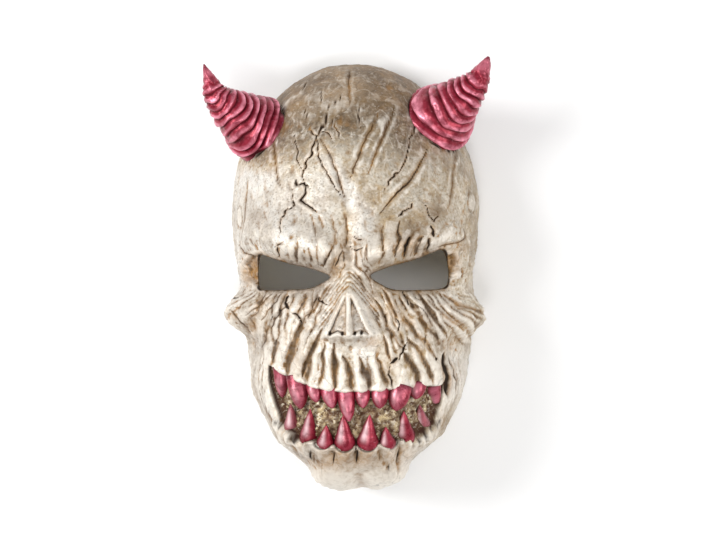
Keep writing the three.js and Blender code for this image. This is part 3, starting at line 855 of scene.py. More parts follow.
def cups(relief):
    """Roots of the lower teeth, each with a pale cup round the foot of its tooth."""
    x, y = relief.x, relief.y
    for centre, width, _, _ in LOWER_TEETH:
        lip_y = float(lower_gum(centre)) + 1.0
        root = block((x - centre * mix(1, 0.86, (lip_y - y) / 16)) / (0.44 * width))
        relief.height += 1.5 * root * smooth(lip_y, lip_y - 4, y) * smooth(lip_y - 17, lip_y - 9, y)
        reach = np.hypot((x - centre) / (0.6 * width), (y - lip_y) / (0.52 * width))
        below = smooth(lip_y + 3, lip_y, y)
        cup = bell((reach - 1.05) / 0.17) * below
        relief.height += 1.6 * cup
        relief.wipe(ochre=cup, dark=cup)
        relief.coat(pale=cup)
        relief.cut(bell((reach - 0.8) / 0.18) * below, 0.5, dark=0.7)
        relief.cut(bell((reach - 1.38) / 0.14) * below, 0.5, ochre=0.65)


def brows(relief):
    """Folds of skin that hang from the brows over the eyes."""
    x, y = relief.x, relief.y
    s = np.abs(x)
    lid = 0.8 + s * 0.24
    where = bell((y - lid - 6) / 8) * smooth(11, 17, s) * smooth(66, 56, s)
    strength = np.where(x < 0, 0.35, 0.6)
    phase = (s - 0.42 * (y - lid)) / 6.4 + 0.35 * noise(x / 9, y / 9, 35)
    fold = waves(phase, 0.75)
    relief.height += where * strength * (0.9 * fold - 0.5)
    relief.coat(ochre=0.6 * where * strength * (1 - fold) ** 1.6)
    relief.height += 0.35 * where * creases(phase * 3.1, y / 8, 36)
    for pixel, half_width, half_height, rise in BROW_KNOBS:
        knob = bell(relief.oval(pixel, half_width, half_height))
        relief.height += rise * knob
        # Pale paint on the knobs, stronger at the right as painted highlight
        relief.coat(pale=np.where(x < 0, 0.1, 0.5) * knob)


def eye_hollows(relief):
    """Hollows beside the eye openings."""
    for corners in EYE_HOLLOWS:
        hollow, depth = inside(relief.x, relief.y, on_face(corners), 0.9)
        relief.height += bell((depth + 1.6) / 1.2) - 2.6 * hollow
        relief.wipe(pale=hollow)
        edge = bell((depth - 0.8) / 0.9)
        relief.coat(ochre=0.95 * hollow, dark=0.42 * edge, pale=0.5 * bell((depth + 1.8) / 1.2))


def eye_rims(relief):
    """Dark paint in the shade round the eye openings."""
    for side in (-1, 1):
        _, depth = inside(relief.x, relief.y, eye_outline(side), 1)
        outer = smooth(56, 59, side * relief.x)
        line = mix(0.6, 1.0, outer) * smooth(-1.1 - 1.3 * outer, -0.1, depth)
        relief.coat(dark=line, ochre=0.55 * smooth(-4.5, -0.5, depth))
        relief.height -= 0.6 * smooth(-1.6, 0, depth)


def jaw_slots(relief):
    """Dark slots between the teeth and the branch of the lower jaw."""
    for width, pixels in JAW_SLOTS:
        i, distance, full = relief.drawn(pixels, 1.2, 4)
        shape = bell(distance / (0.45 * width * full + 0.1))
        relief.height[i] -= 3.2 * shape
        relief.pale[i] *= 1 - shape
        relief.coat(i, dark=0.95 * shape, ochre=shape**0.4)


def jaw_bands(relief):
    """Long bands on the branches of the lower jaw, which follow the outline."""
    where = smooth(50, 57, np.abs(relief.x)) * smooth(-44, -58, relief.y) * smooth(-112, -98, relief.y)
    where = where * smooth(6, 24, relief.z)
    fold = waves(relief.r * 17 + 0.9 * noise(relief.p / 14, relief.q / 30, 41), 0.7)
    relief.height += where * (1.2 * fold - 0.7)
    relief.coat(ochre=0.5 * where * (1 - fold) ** 1.5, pale=0.5 * where * fold)


def chin_folds(relief):
    """Two smooth lobes with faint creases across them."""
    x, y = relief.x, relief.y
    front = smooth(20, 50, relief.z)
    where = smooth(-114, -121, y) * smooth(40, 28, np.abs(x)) * front
    wave = y + 0.012 * (x - 2) ** 2 + 1.5 * noise(x / 12, y / 12, 43)
    relief.height = mix(relief.height, 0.35 * relief.height, where)
    relief.height += (0.3 + 0.25 * bell((x - 2) / 11)) * where * np.sin(wave * 2 * math.pi / 4.6)
    for lobe_x in (-17, 20):
        relief.height += 3.5 * bell((x - lobe_x) / 10) * bell((y + 124) / 6.5) * front
    notch = bell((x - 2) / 4) * smooth(-119, -126, y) * smooth(20, 60, relief.z)
    relief.height -= 1.8 * notch
    relief.wipe(ochre=0.7 * where, dark=0.8 * where, shade=0.6 * where)
    relief.coat(ochre=0.4 * notch, pale=0.95 * where)


def crumples(relief):
    """Fine random folds, plates and pocks of the whole skin, calmer on the forehead and the chin."""
    p, q, y = relief.p, relief.q, relief.y
    calm = 1 - 0.8 * smooth(-114, -122, y) - 0.5 * smooth(12, 34, y) - 0.15 * smooth(70, 95, y)
    ridged = 1 - 0.45 * smooth(8, 30, y)
    layers = [
        (noise, 0.6, 13, 17, 51),
        (creases, 0.42 * ridged, 6.5, 9.5, 52),
        (creases, 0.28 * ridged, 3.3, 4.8, 53),
        (noise, 0.2 * calm, 1.6, 2.0, 54),
        (flakes, 0.4 * calm, 8, 11, 57),
        (flakes, 0.3 * calm, 4.2, 5.6, 58),
        (flakes, 0.22 * calm, 2.2, 3.4, 59),
    ]
    for pattern, height, wide, long, seed in layers:
        relief.height += height * pattern(p / wide, q / long, seed)
    pocks = smooth(0.55, 0.8, noise(p / 3.7, q / 3.7, 55)) * smooth(0.1, 0.5, noise(p / 19, q / 19, 56))
    relief.cut(pocks, 0.45 * calm, dark=0.2, ochre=0.3)


def horn_foot_shade(relief):
    """Painted shade where the horns meet the forehead."""
    place = np.array([relief.x, relief.y, relief.z])
    for form in (LEFT_HORN, RIGHT_HORN):
        seat, after = np.array(form["line"][:2], float)
        axis = (after - seat) / np.linalg.norm(after - seat)
        offset = place - seat[:, None]
        distance = np.linalg.norm(offset - np.outer(axis, axis @ offset), axis=0)
        relief.coat(dark=0.8 * bell((distance - form["radius"]) / 1.3) * (offset[2] > -40))


def mouth(relief):
    """The sunk band of crumpled flesh between the two rows of teeth.

    Painted shade darkens it along its walls and round the feet of the teeth.
    """
    x, y = relief.x, relief.y
    depth = mouth_depth(x, y, soft=2, end=4, corner=2)
    crumple = 0.6 * noise(x / 6, y / 5, 33) + 0.6 * noise(x / 2.2, y / 1.6, 31)
    crumple += 0.7 * noise(x / 1.2, y / 1.1, 32)
    relief.height = mix(relief.height, -RECESS, depth) + depth**4 * crumple
    relief.wipe(dark=depth, ochre=depth, pale=depth)
    # Painted shade along the walls of the mouth
    relief.coat(dark=0.75 * bell((depth - 0.55) / 0.4))
    for row in (UPPER_ROW, LOWER_ROW):
        for centre, width, length, lean in row["teeth"]:
            foot_y = float(row["gum"](centre))
            axis = [(centre, foot_y), (centre + lean, foot_y + row["points"] * length)]
            distance, _ = follow(x, y, axis)
            # Painted shade round each tooth
            relief.coat(dark=0.58 * depth * bell((distance - 0.35 * width) / 2.2) * (relief.z > 20))
    relief.mouth = depth


def fine_relief(x, y, z, r, a, b):
    """All the carving and paint, in the order in which it is laid on."""
    relief = Relief(x, y, z, r, PATTERN_SIZE[0] * a, PATTERN_SIZE[1] * b)
    skin = (crumples, brows, chevrons, cheek_strands, cheek_knobs, chin_folds, grooves, ridges, valleys)
    bone = (collars, cups, nose_bone, nostrils, septum, cracks, jaw_slots, jaw_bands)
    shade = (washes, blisters, eye_hollows, eye_rims, mouth, horn_foot_shade)
    for step in skin + bone + shade:
        step(relief)
    return relief


# Face mesh


def rim_height(y):
    return RIM_LIFT * np.maximum(0, np.abs(y) - RIM_FLAT) ** 2


def rim_reach():
    """How far out on the unit disc the rim is, by direction."""
    turn = np.linspace(-math.pi, math.pi, 361)
    low = np.full(361, 0.5)
    high = np.ones(361)
    for _ in range(30):
        rho = (low + high) / 2
        (_, y, z), _ = dome_point(rho * np.cos(turn), rho * np.sin(turn))
        above = z > rim_height(y)
        low = np.where(above, rho, low)
        high = np.where(above, high, rho)
    return turn, low


def spread(stretches, axis):
    """Grid lines from -1 to 1 that are evenly spaced in millimetres between the places given."""
    t = np.linspace(-1, 1, 2001)
    line = [0 * t, 0 * t]
    line[axis] = t
    place = dome_point(*line)[0][axis]
    knots = np.interp([stop for stop, _ in stretches], np.maximum.accumulate(place), t)
    knots[0], knots[-1] = -1, 1
    steps = [count for _, count in stretches[1:]]
    lines = [np.linspace(*ends, count, endpoint=False) for *ends, count in zip(knots, knots[1:], steps)]
    return np.concatenate([*lines, [1.0]])


class Grid:
    """A square grid laid over the dome, down to its rim."""

    def __init__(self, across, along):
        columns, rows = spread(across, 0), spread(along, 1)
        self.wide, self.high = len(columns), len(rows)
        u, v = (g.ravel() for g in np.meshgrid(columns, rows))
        a = u * np.sqrt(1 - v * v / 2)
        b = v * np.sqrt(1 - u * u / 2)
        reach = np.interp(np.arctan2(b, a), *rim_reach())
        self.a, self.b = a * reach, b * reach
        self.point, self.r = dome_point(self.a, self.b)

    def quads(self):
        corner = (np.arange(self.high - 1)[:, None] * self.wide + np.arange(self.wide - 1)).ravel()
        return np.column_stack([corner, corner + 1, corner + self.wide + 1, corner + self.wide])

    def lifted(self, height, outwards):
        """The grid raised by a height, moved outwards along the normal, and set on the rim.

        Near the outline the height is laid along the normal instead of straight up.
        """
        normal = dome_normal(NORMAL_AT * self.a, NORMAL_AT * self.b)
        up = mix(UP, normal, smooth(0.72, 0.97, self.r))
        points = self.point + up / np.linalg.norm(up, axis=0) * height + normal * outwards
        border = np.ones((self.high, self.wide), bool)
        border[1:-1, 1:-1] = False
        level = rim_height(points[1])
        points[2] = np.where(border.ravel(), level, np.maximum(points[2], level + 0.05))
        return points

    def blurred(self, values, steps):
        """Values averaged over a square of neighbours, twice."""
        grid = values.reshape(self.high, self.wide)
        width = 2 * steps + 1
        for axis in (0, 1, 0, 1):
            pad = [(steps + 1, steps) if k == axis else (0, 0) for k in (0, 1)]
            total = np.cumsum(np.pad(grid, pad, mode="edge"), axis=axis)
            size = range(grid.shape[axis])
            grid = (np.take(total, [width + k for k in size], axis) - np.take(total, size, axis)) / width
        return grid.ravel()


def eye_outline(side):
    """The closed curve of an eye opening, through the corners given."""
    corners = np.array([(side * x, y * LEFT_EYE_DROP if side < 0 and y < 0 else y) for x, y in EYE], float)
    return spline(np.vstack([corners[-1:], corners, corners[:2]]), 6)


def border_loops(quads):
    """Closed rows of vertices along the edges that belong to one face only."""
    starts = quads.ravel()
    ends = np.roll(quads, -1, axis=1).ravel()
    keys = np.minimum(starts, ends) * (quads.max() + 1) + np.maximum(starts, ends)
    _, first, count = np.unique(keys, return_index=True, return_counts=True)
    single = first[count == 1]
    following = dict(zip(starts[single].tolist(), ends[single].tolist()))
    loops = []
    while following:
        start, here = following.popitem()
        loop = [start]
        while here != start:
            loop.append(here)
            here = following.pop(here)
        loops.append(np.array(loop))
    return sorted(loops, key=len)


def cut_eyes(points, quads, growth):
    """Drops the faces inside the eye openings, and draws the edges left on to the outline of each.

    Returns the faces, the row of vertices round the rim, and each eye's row with how far round it they are.
    """
    outlines = []
    for side in (-1, 1):
        outline = eye_outline(side)
        middle = outline.mean(axis=0)
        outlines.append(closed(middle + (outline - middle) * (1 + growth / EYE_HALF_WIDTH)))
        _, depth = inside(*points[:2], outlines[-1][:-1], 1)
        quads = quads[depth[quads].mean(axis=1) < 0]
    *holes, rim = border_loops(quads)
    holes.sort(key=lambda hole: points[0][hole].mean())
    turns = []
    for hole, outline in zip(holes, outlines):
        _, turn = follow(*points[:2, hole], outline)
        lengths = lengths_along(outline)
        for k in (0, 1):
            points[k, hole] = np.interp(turn * lengths[-1], lengths, outline[:, k])
        turns.append(turn)
    return quads, rim, list(zip(holes, turns))


def by_turn(loop, turn):
    """Starts a loop at its smallest turn and runs it the way that the turn grows."""
    first = int(np.argmin(turn))
    loop, turn = np.roll(loop, -first), np.roll(turn, -first)
    if np.sum(np.diff(turn) > 0) < len(turn) / 2:
        loop, turn = np.roll(loop[::-1], 1), np.roll(turn[::-1], 1)
    turn = np.maximum.accumulate(np.where(turn < turn[0], turn[0], turn))
    return loop.tolist(), np.append(turn, turn[0] + 1)


def stitch(loop_a, turn_a, loop_b, turn_b):
    """Triangles between two closed rows of vertices."""
    loop_a, turn_a = by_turn(loop_a, turn_a)
    loop_b, turn_b = by_turn(loop_b, turn_b)
    i = j = 0
    faces = []
    while i < len(loop_a) or j < len(loop_b):
        here = loop_a[i % len(loop_a)], loop_b[j % len(loop_b)]
        if j == len(loop_b) or (i < len(loop_a) and turn_a[i + 1] <= turn_b[j + 1]):
            i += 1
            faces.append((here[0], loop_a[i % len(loop_a)], here[1]))
        else:
            j += 1
            faces.append((here[0], loop_b[j % len(loop_b)], here[1]))
    return faces


def turn_of(points, loop):
    """How far round the head the points of a loop are, in whole turns."""
    return np.arctan2(points[1][loop], points[0][loop]) / (2 * math.pi)


def eye_wall(points, loop, side):
    """Two rows of vertices that round off the edge of an eye opening and lead into it."""
    middle = np.append(eye_outline(side).mean(axis=0), 0)[:, None]
    inward = (middle - points[:, loop]) * (1 - UP)
    inward = inward / np.linalg.norm(inward, axis=0)
    rows = [points[:, loop] + inward * reach - UP * drop for reach, drop in EYE_WALL]
    return np.hstack(rows), points.shape[1] + np.arange(2 * len(loop)).reshape(2, -1)


def ring_quads(loop_a, loop_b):
    return np.column_stack([loop_a, np.roll(loop_a, -1), np.roll(loop_b, -1), loop_b])


def cavity(relief, skin):
    """How far each point stands out from its neighbours, from -1 to 1, and less near the rim."""
    fine, finest = (relief.height - skin.blurred(relief.height, steps) for steps in (5, 2))
    share = relief.shade * mix(1, 0.4, smooth(0.9, 0.98, skin.r))
    return np.clip(0.4 * fine + 0.9 * finest, -1, 1) * share


def face_mesh():
    """The rubber shell: carved skin outside, plain lining inside, joined round the rim and the eyes."""
    skin = Grid(GRID_ACROSS, GRID_ALONG)
    lining = Grid(LINING_ACROSS, LINING_ALONG)
    relief = fine_relief(*skin.point, skin.r, skin.a, skin.b)
    outer = skin.lifted(broad(*skin.point) + relief.height, 0)
    inner = lining.lifted(lowest(*lining.point), -WALL)
    relief.cavity = cavity(relief, skin)
    outer_quads, outer_rim, outer_eyes = cut_eyes(outer, skin.quads(), 0)
    inner_quads, inner_rim, inner_eyes = cut_eyes(inner, lining.quads(), LINING_EYE_GROWTH)
    shift = outer.shape[1]
    painted = [outer_quads]
    seams = stitch(outer_rim, turn_of(outer, outer_rim), inner_rim + shift, turn_of(inner, inner_rim))
    points = np.hstack([outer, inner])
    for side, (outer_loop, outer_turn), (inner_loop, inner_turn) in zip((-1, 1), outer_eyes, inner_eyes):
        rows, (lip, wall) = eye_wall(points, outer_loop, side)
        points = np.hstack([points, rows])
        painted += [ring_quads(outer_loop, lip), ring_quads(lip, wall)]
        seams += stitch(wall, outer_turn, inner_loop + shift, inner_turn)
    painted = np.vstack(painted).tolist()
    return points, painted, (inner_quads + shift).tolist() + seams, relief


def to_object(name, points, faces, materials):
    """A mesh object from points in millimetres."""
    mesh = bpy.data.meshes.new(name)
    metres = (points + np.array([[0.0], [SHIFT_Y], [0.0]])).T / 1000
    mesh.from_pydata(metres.tolist(), [], faces)
    for material in materials:
        mesh.materials.append(material)
    mesh.shade_smooth()
    piece = bpy.data.objects.new(name, mesh)
    bpy.context.scene.collection.objects.link(piece)
    return piece


def tidy(piece):
    """Drops loose points and turns all faces outwards."""
    work = bmesh.new()
    work.from_mesh(piece.data)
    bmesh.ops.delete(work, geom=[v for v in work.verts if not v.link_faces], context="VERTS")
    bmesh.ops.recalc_face_normals(work, faces=work.faces)
    work.to_mesh(piece.data)
    work.free()


def paint(piece, name, channels):
    """Three numbers for each point, for the material to read as a colour."""
    values = np.zeros((len(piece.data.vertices), 4))
    values[:, 3] = 1
    for k, channel in enumerate(channels):
        values[: len(channel), k] = np.clip(channel, 0, 1)
    layer = piece.data.color_attributes.new(name, "FLOAT_COLOR", "POINT")
    layer.data.foreach_set("color", values.ravel())


def pale_and_lit_zones(relief):
    """Where the bone is silver white instead of grey brown.

    This is partly painted light and shade: paler on the left side and the right cheek, and grey brown over
    the crown.
    """
    x, y = relief.x, relief.y
    left = smooth(25, -25, x) * smooth(92, 58, y)
    streak_x = np.clip(9 - 0.66 * (y - 37), -20, 9)
    middle = bell((x - streak_x) / 13) * smooth(92, 72, y)
    cool = 0.3 * np.maximum(smooth(-5, -45, x), smooth(48, 62, x) * smooth(-40, -60, y))
    bright = 0.25 * np.maximum(smooth(-102, -112, y), bell((x - 50) / 16) * bell((y + 24) / 14))
    lower = (0.68 + cool + bright) * smooth(12, -6, y)
    right = 0.45 * smooth(100, 60, y) + 0.1 * smooth(20, 10, y)
    patches = 0.2 * noise(relief.p / 22, relief.q / 22, 61) + 0.1 * noise(relief.p / 9, relief.q / 9, 62)
    return np.max([left, middle, lower, right], axis=0) + patches


def face(bone, latex):
    points, painted, raw, relief = face_mesh()
    piece = to_object("face_shell", points, painted + raw, [bone, latex])
    piece.data.polygons.foreach_set("material_index", [0] * len(painted) + [1] * len(raw))
    paint(piece, "relief", [0.5 + 0.5 * relief.cavity, relief.dark, relief.ochre])
    paint(piece, "zones", [relief.mouth, pale_and_lit_zones(relief), relief.pale])
    tidy(piece)
    return piece


# Horns and teeth


def along_line(points, t):
    """Places and directions at shares of the length of a smooth line, and straight on before its start."""
    points = np.asarray(points, float)
    curve = spline(np.vstack([2 * points[0] - points[1], points, 2 * points[-1] - points[-2]]), 60)
    curve = np.vstack([curve, points[-1:]])
    lengths = lengths_along(curve)
    even = np.linspace(0, 1, LINE_STEPS)
    line = np.array([np.interp(even * lengths[-1], lengths, values) for values in curve.T])
    direction = np.gradient(line, axis=1)
    direction = direction / np.linalg.norm(direction, axis=0)
    place, along = (np.array([np.interp(t, even, values) for values in row]) for row in (line, direction))
    return place + direction[:, :1] * np.minimum(t, 0) * lengths[-1], along


def under_skin(points):
    """How far points lie under the plain dome, towards its middle."""
    x, y, z = points
    outline, p = head_radius(x, y)
    size = ((np.hypot(x, y) / outline) ** p + (np.maximum(z, 0) / DOME) ** p) ** (1 / p)
    return np.linalg.norm(points, axis=0) * (1 / np.maximum(size, 1e-6) - 1)


def rib_profile(t, turn, count, seed):
    """How the ribs swell the horn: -1 in a valley and 1 on a rib."""
    place = 1 - (1 - np.clip(t, 0, 1)) ** 1.12
    wobble = 0.028 * np.sin(turn + 3 * t + seed) + 0.02 * np.sin(2 * turn + 9 * t)
    wobble += 0.014 * np.sin(3 * turn - 14 * t) + 0.012 * noise(turn * 2 + seed, t * 9, 74)
    phase = count * (place + wobble) + 0.4 * np.sin(7 * place + seed)
    lobe = waves((phase - np.floor(phase)) ** 0.8, 1.05)
    rib_size = 0.9 + 0.4 * noise(np.floor(phase) * 2.3, turn + seed * 5, 73)
    minor = 0.2 * waves(2.4 * phase + 0.5 * np.sin(2 * turn + seed), 1.5)
    return (2 * lobe - 1 - minor * lobe) * rib_size * (1 - 0.85 * smooth(0.68, 0.88, t))


def horn_surface(form, seed, t, turn):
    """Points of a horn at a share of its length and a turn round it, and how the ribs swell it there."""
    place, along = along_line(form["line"], t)
    across = np.cross(UP, along, axis=0)
    across = across / np.linalg.norm(across, axis=0)
    over = np.cross(along, across, axis=0)
    ribs = rib_profile(t, turn, form["ribs"], seed)
    left = 1 - np.clip(t, 0, 1)
    taper = form["radius"] * mix(left, np.sqrt(left), form["blunt"])
    radius = taper * (1 + RIB_DEPTH * ribs) + 0.25 * noise(turn * 5 + 40, t * 48, 71 + seed)
    radius += 0.12 * creases(turn * 4 + 30 * t, t * 30, 75 + seed) * taper / form["radius"]
    return place + (across * np.cos(turn) + over * np.sin(turn)) * radius, ribs


def horn(name, form, seed, material):
    """A ribbed horn, from just under the skin of the forehead to its tip."""
    sides, rings = HORN_GRID
    turn = np.arange(sides) / sides * 2 * math.pi
    t = np.linspace(*ROOT_SEARCH)
    depths = (under_skin(horn_surface(form, seed, t, np.full(len(t), side))[0]) for side in turn)
    buried = np.array([t[np.argmax(depth < HORN_ROOT)] for depth in depths])
    ring = np.linspace(0, 1, rings)[:, None] ** 0.92
    grid_t = mix(buried, 0.996, ring).ravel()
    points, ribs = horn_surface(form, seed, grid_t, np.tile(turn, rings))
    ends = [points[:, part].mean(axis=1)[:, None] for part in (slice(sides), slice(-sides, None))]
    piece = to_object(name, np.hstack([points, *ends]), tube_faces(sides, rings), [material])
    # Painted shade at the foot of the horn, painted highlights on the ribs and painted shade in the grooves
    foot = bell((grid_t - np.tile(buried, rings)) / 0.05)
    rib_light_and_shade = mix(0.5 + 0.5 * np.clip(ribs, -1, 1), 0.76, smooth(0.7, 0.9, grid_t))
    paint(piece, "relief", [rib_light_and_shade, foot])
    tidy(piece)
    return piece


def tube_faces(sides, rings):
    """Faces of a closed tube of rings, with one more point at each end."""
    ring = np.arange(sides)
    faces = [ring_quads(ring + j * sides, ring + (j + 1) * sides) for j in range(rings - 1)]
    count = rings * sides
    last = count - sides
    first_cap = [(count, (k + 1) % sides, k) for k in range(sides)]
    last_cap = [(count + 1, last + k, last + (k + 1) % sides) for k in range(sides)]
    return np.vstack(faces).tolist() + first_cap + last_cap


# Each row of teeth: its forms, its gum, which way it points, and how its teeth are shaped and painted
# Most of that paint is painted light and shade
UPPER_ROW = {
    "teeth": UPPER_TEETH,
    "gum": upper_gum,
    "points": -1,
    "blunt": 2.6,
    "taper": 0.65,
    "foot": 0.12,
    "swell": 0.0,
    "painted_highlight": 0.3,
    "painted_light": 0.38,
    "outer_rise": 0.0,
    "outer_pale": 0.0,
}
LOWER_ROW = {
    "teeth": LOWER_TEETH,
    "gum": lower_gum,
    "points": 1,
    "blunt": 1.8,
    "taper": 0.85,
    "foot": 0.0,
    "swell": 0.18,
    "painted_highlight": 0.95,
    "painted_light": 0.24,
    "outer_rise": 2.4,
    "outer_pale": 0.12,
}


def tooth_axis(form, row):
    """The root of a tooth, deep in the gum, and its tip."""
    x, width, length, lean = form
    gum, points = row["gum"], row["points"]
    slant = abs(float(gum(x + 0.5) - gum(x - 0.5)))
    root = np.array([x, float(gum(x)) - points * (2.0 + 0.5 * slant * width), 0.0])
    tip = np.array([x + lean, float(gum(x)) + points * length, 0.0])
    rise = row["outer_rise"] * smooth(34, 39, abs(x))
    for end, sunk in ((root, 4.4), (tip, 1.2)):
        end[2] = skin_height(*end[:2, None])[0] - sunk + rise
    return root[:, None], tip[:, None]


def tooth(form, row, seed):
    """Points and paint of one pointed tooth with its root in the gum; the paint holds painted light and
    shade.
    """
    x, width, _, _ = form
    sides, rings = TOOTH_GRID
    root, tip = tooth_axis(form, row)
    size = np.linalg.norm(tip - root)
    axis = (tip - root) / size
    across = np.cross(axis, UP, axis=0)
    across /= np.linalg.norm(across)
    over = np.cross(across, axis, axis=0)
    t = np.repeat(np.linspace(0, 0.985, rings), sides)
    turn = np.tile(np.arange(sides) / sides * 2 * math.pi, rings)
    swell = 1 + row["foot"] + row["swell"] * np.sin(math.pi * np.minimum(1, t / 0.5))
    radius = 0.55 * width * swell * np.maximum(0, 1 - t ** row["blunt"]) ** row["taper"]
    radius = radius * (1 + 0.04 * noise(turn * 2 + seed, t * 4, 80 + seed))
    bow = 0.05 * size * np.sin(math.pi * t)
    middle = root + axis * t * size + over * bow
    points = middle + (across * np.cos(turn) + 0.86 * over * np.sin(turn)) * radius
    # Painted highlight on the side of a tooth that faces the light, and pale paint on the outer lower teeth
    from_light = np.angle(np.exp(1j * (turn - math.pi / 2 - 0.5 * row["points"])))
    painted_highlight = row["painted_highlight"] * bell(from_light / 0.4) * block((t - 0.58) / 0.26)
    painted_highlight = painted_highlight + row["outer_pale"] * smooth(34, 40, abs(x))
    # Painted light on the upper side of a tooth and painted shade below, then painted shade at its foot
    painted_light = row["painted_light"] + 0.4 * np.maximum(0, np.sin(turn))
    painted = np.array([painted_light, 0.8 * bell(t / 0.16), painted_highlight])
    at_ends = np.array([[0.2, 0.5], [0.8, 0], [0, 0]])
    return np.hstack([points, root, tip]), np.hstack([painted, at_ends])


def teeth(name, row, material):
    made = [tooth(form, row, seed) for seed, form in enumerate(row["teeth"])]
    points, painted = (np.hstack(parts) for parts in zip(*made))
    count = made[0][0].shape[1]
    faces = tube_faces(*TOOTH_GRID)
    faces = [tuple(k + n * count for k in face) for n in range(len(made)) for face in faces]
    piece = to_object(name, points, faces, [material])
    paint(piece, "relief", painted)
    tidy(piece)
    return piece


# Materials


def srgb(colour):
    """A linear colour from 0 to 255 screen values."""
    linear = [((c / 255 + 0.055) / 1.055) ** 2.4 if c > 10 else c / 3294.6 for c in colour]
    return (*linear, 1)


class Nodes:
    """Shorthand for building a material's nodes. A colour is a socket, or its screen values."""

    def __init__(self, name):
        self.material = bpy.data.materials.new(name)
        self.material.use_nodes = True
        self.tree = self.material.node_tree
        self.shader = self.tree.nodes["Principled BSDF"]
        self.place = self.add("ShaderNodeTexCoord").outputs["Object"]

    def add(self, kind, **settings):
        node = self.tree.nodes.new(kind)
        for key, value in settings.items():
            setattr(node, key, value)
        return node

    def put(self, value, target):
        if isinstance(value, bpy.types.NodeSocket):
            self.tree.links.new(value, target)
        else:
            target.default_value = srgb(value) if isinstance(value, tuple) else value

    def attribute(self, name):
        """The three painted numbers of that name."""
        split = self.add("ShaderNodeSeparateColor")
        self.put(self.add("ShaderNodeAttribute", attribute_name=name).outputs["Color"], split.inputs[0])
        return split.outputs[:3]

    def noise(self, scale, detail=4.0, distortion=0.0, stretch_y=1.0):
        mapping = self.add("ShaderNodeMapping")
        mapping.inputs["Scale"].default_value[1] = stretch_y
        self.put(self.place, mapping.inputs["Vector"])
        texture = self.add("ShaderNodeTexNoise")
        texture.inputs["Scale"].default_value = scale
        texture.inputs["Detail"].default_value = detail
        texture.inputs["Distortion"].default_value = distortion
        self.put(mapping.outputs[0], texture.inputs["Vector"])
        return texture.outputs["Fac"]

    def crackle(self, scale):
        """Distance from the nearest of a net of wandering lines."""
        wander = self.add("ShaderNodeTexNoise")
        wander.inputs["Scale"].default_value = scale * 1.5
        self.put(self.place, wander.inputs["Vector"])
        shift = self.add("ShaderNodeVectorMath", operation="SCALE")
        shift.inputs["Scale"].default_value = 0.6 / scale
        self.put(wander.outputs["Color"], shift.inputs[0])
        moved = self.add("ShaderNodeVectorMath", operation="ADD")
        self.put(self.place, moved.inputs[0])
        self.put(shift.outputs[0], moved.inputs[1])
        cells = self.add("ShaderNodeTexVoronoi", feature="DISTANCE_TO_EDGE")
        cells.inputs["Scale"].default_value = scale
        self.put(moved.outputs[0], cells.inputs["Vector"])
        return cells.outputs["Distance"]

    def span(self, value, low, high, start=0.0, end=1.0):
        """Maps low..high to start..end, and holds it there."""
        node = self.add("ShaderNodeMapRange")
        for k, item in enumerate((value, low, high, start, end)):
            self.put(item, node.inputs[k])
        return node.outputs[0]

    def maths(self, kind, a, b):
        node = self.add("ShaderNodeMath", operation=kind, use_clamp=True)
        self.put(a, node.inputs[0])
        self.put(b, node.inputs[1])
        return node.outputs[0]

    def blend(self, factor, a, b):
        node = self.add("ShaderNodeMix", data_type="RGBA")
        self.put(factor, node.inputs["Factor"])
        self.put(a, node.inputs[6])
        self.put(b, node.inputs[7])
        return node.outputs[2]

    def over(self, below, above, value, low, high, start=0.0, end=1.0):
        """One colour over another, by start..end where a value runs from low to high."""
        return self.blend(self.span(value, low, high, start, end), below, above)

    def bump(self, *layers):
        """Several heights over each other: value, strength and distance in metres."""
        normal = None
        for value, strength, distance in layers:
            node = self.add("ShaderNodeBump")
            node.inputs["Strength"].default_value = strength
            node.inputs["Distance"].default_value = distance
            self.put(value, node.inputs["Height"])
            if normal:
                self.put(normal, node.inputs["Normal"])
            normal = node.outputs[0]
        self.put(normal, self.shader.inputs["Normal"])

    def finish(self, colour, roughness, metallic, specular=0.5):
        for name, value in (("Base Color", colour), ("Roughness", roughness), ("Metallic", metallic)):
            self.put(value, self.shader.inputs[name])
        self.shader.inputs["Specular IOR Level"].default_value = specular
        return self.material


def bone_colour(n, mottle, blotch, pale_and_lit_zone):
    """Grey brown bone that turns cream and then silver white, with rust, scuffs and flecks.

    The turn to silver white follows the pale and lit zones, and is partly painted light and shade.
    """
    fleck = n.noise(700)
    grey = n.over((98, 84, 68), (150, 135, 116), mottle, 0.34, 0.64)
    warm = n.over((174, 157, 133), (217, 208, 192), blotch, 0.38, 0.6)
    warm = n.over(warm, (168, 144, 108), mottle, 0.48, 0.7, 0, 0.7)
    silver = n.over((187, 178, 167), (221, 217, 210), blotch, 0.38, 0.6)
    silver = n.over(silver, (178, 162, 138), mottle, 0.5, 0.75, 0, 0.5)
    rust = n.span(n.noise(95, 3), 0.54, 0.68, 0, 0.4)
    warm = n.blend(rust, warm, (186, 152, 98))
    grey = n.blend(rust, grey, (156, 130, 92))
    colour = n.over(grey, warm, pale_and_lit_zone, 0, 0.66)
    colour = n.over(colour, silver, pale_and_lit_zone, 0.66, 1)
    colour = n.over(colour, (222, 213, 200), n.noise(130, 7, 1.8, 0.6), 0.56, 0.64, 0, 0.55)
    colour = n.over(colour, (226, 219, 205), fleck, 0.56, 0.72, 0, 0.35)
    return n.over(colour, (112, 92, 66), fleck, 0.46, 0.3, 0, 0.6), fleck


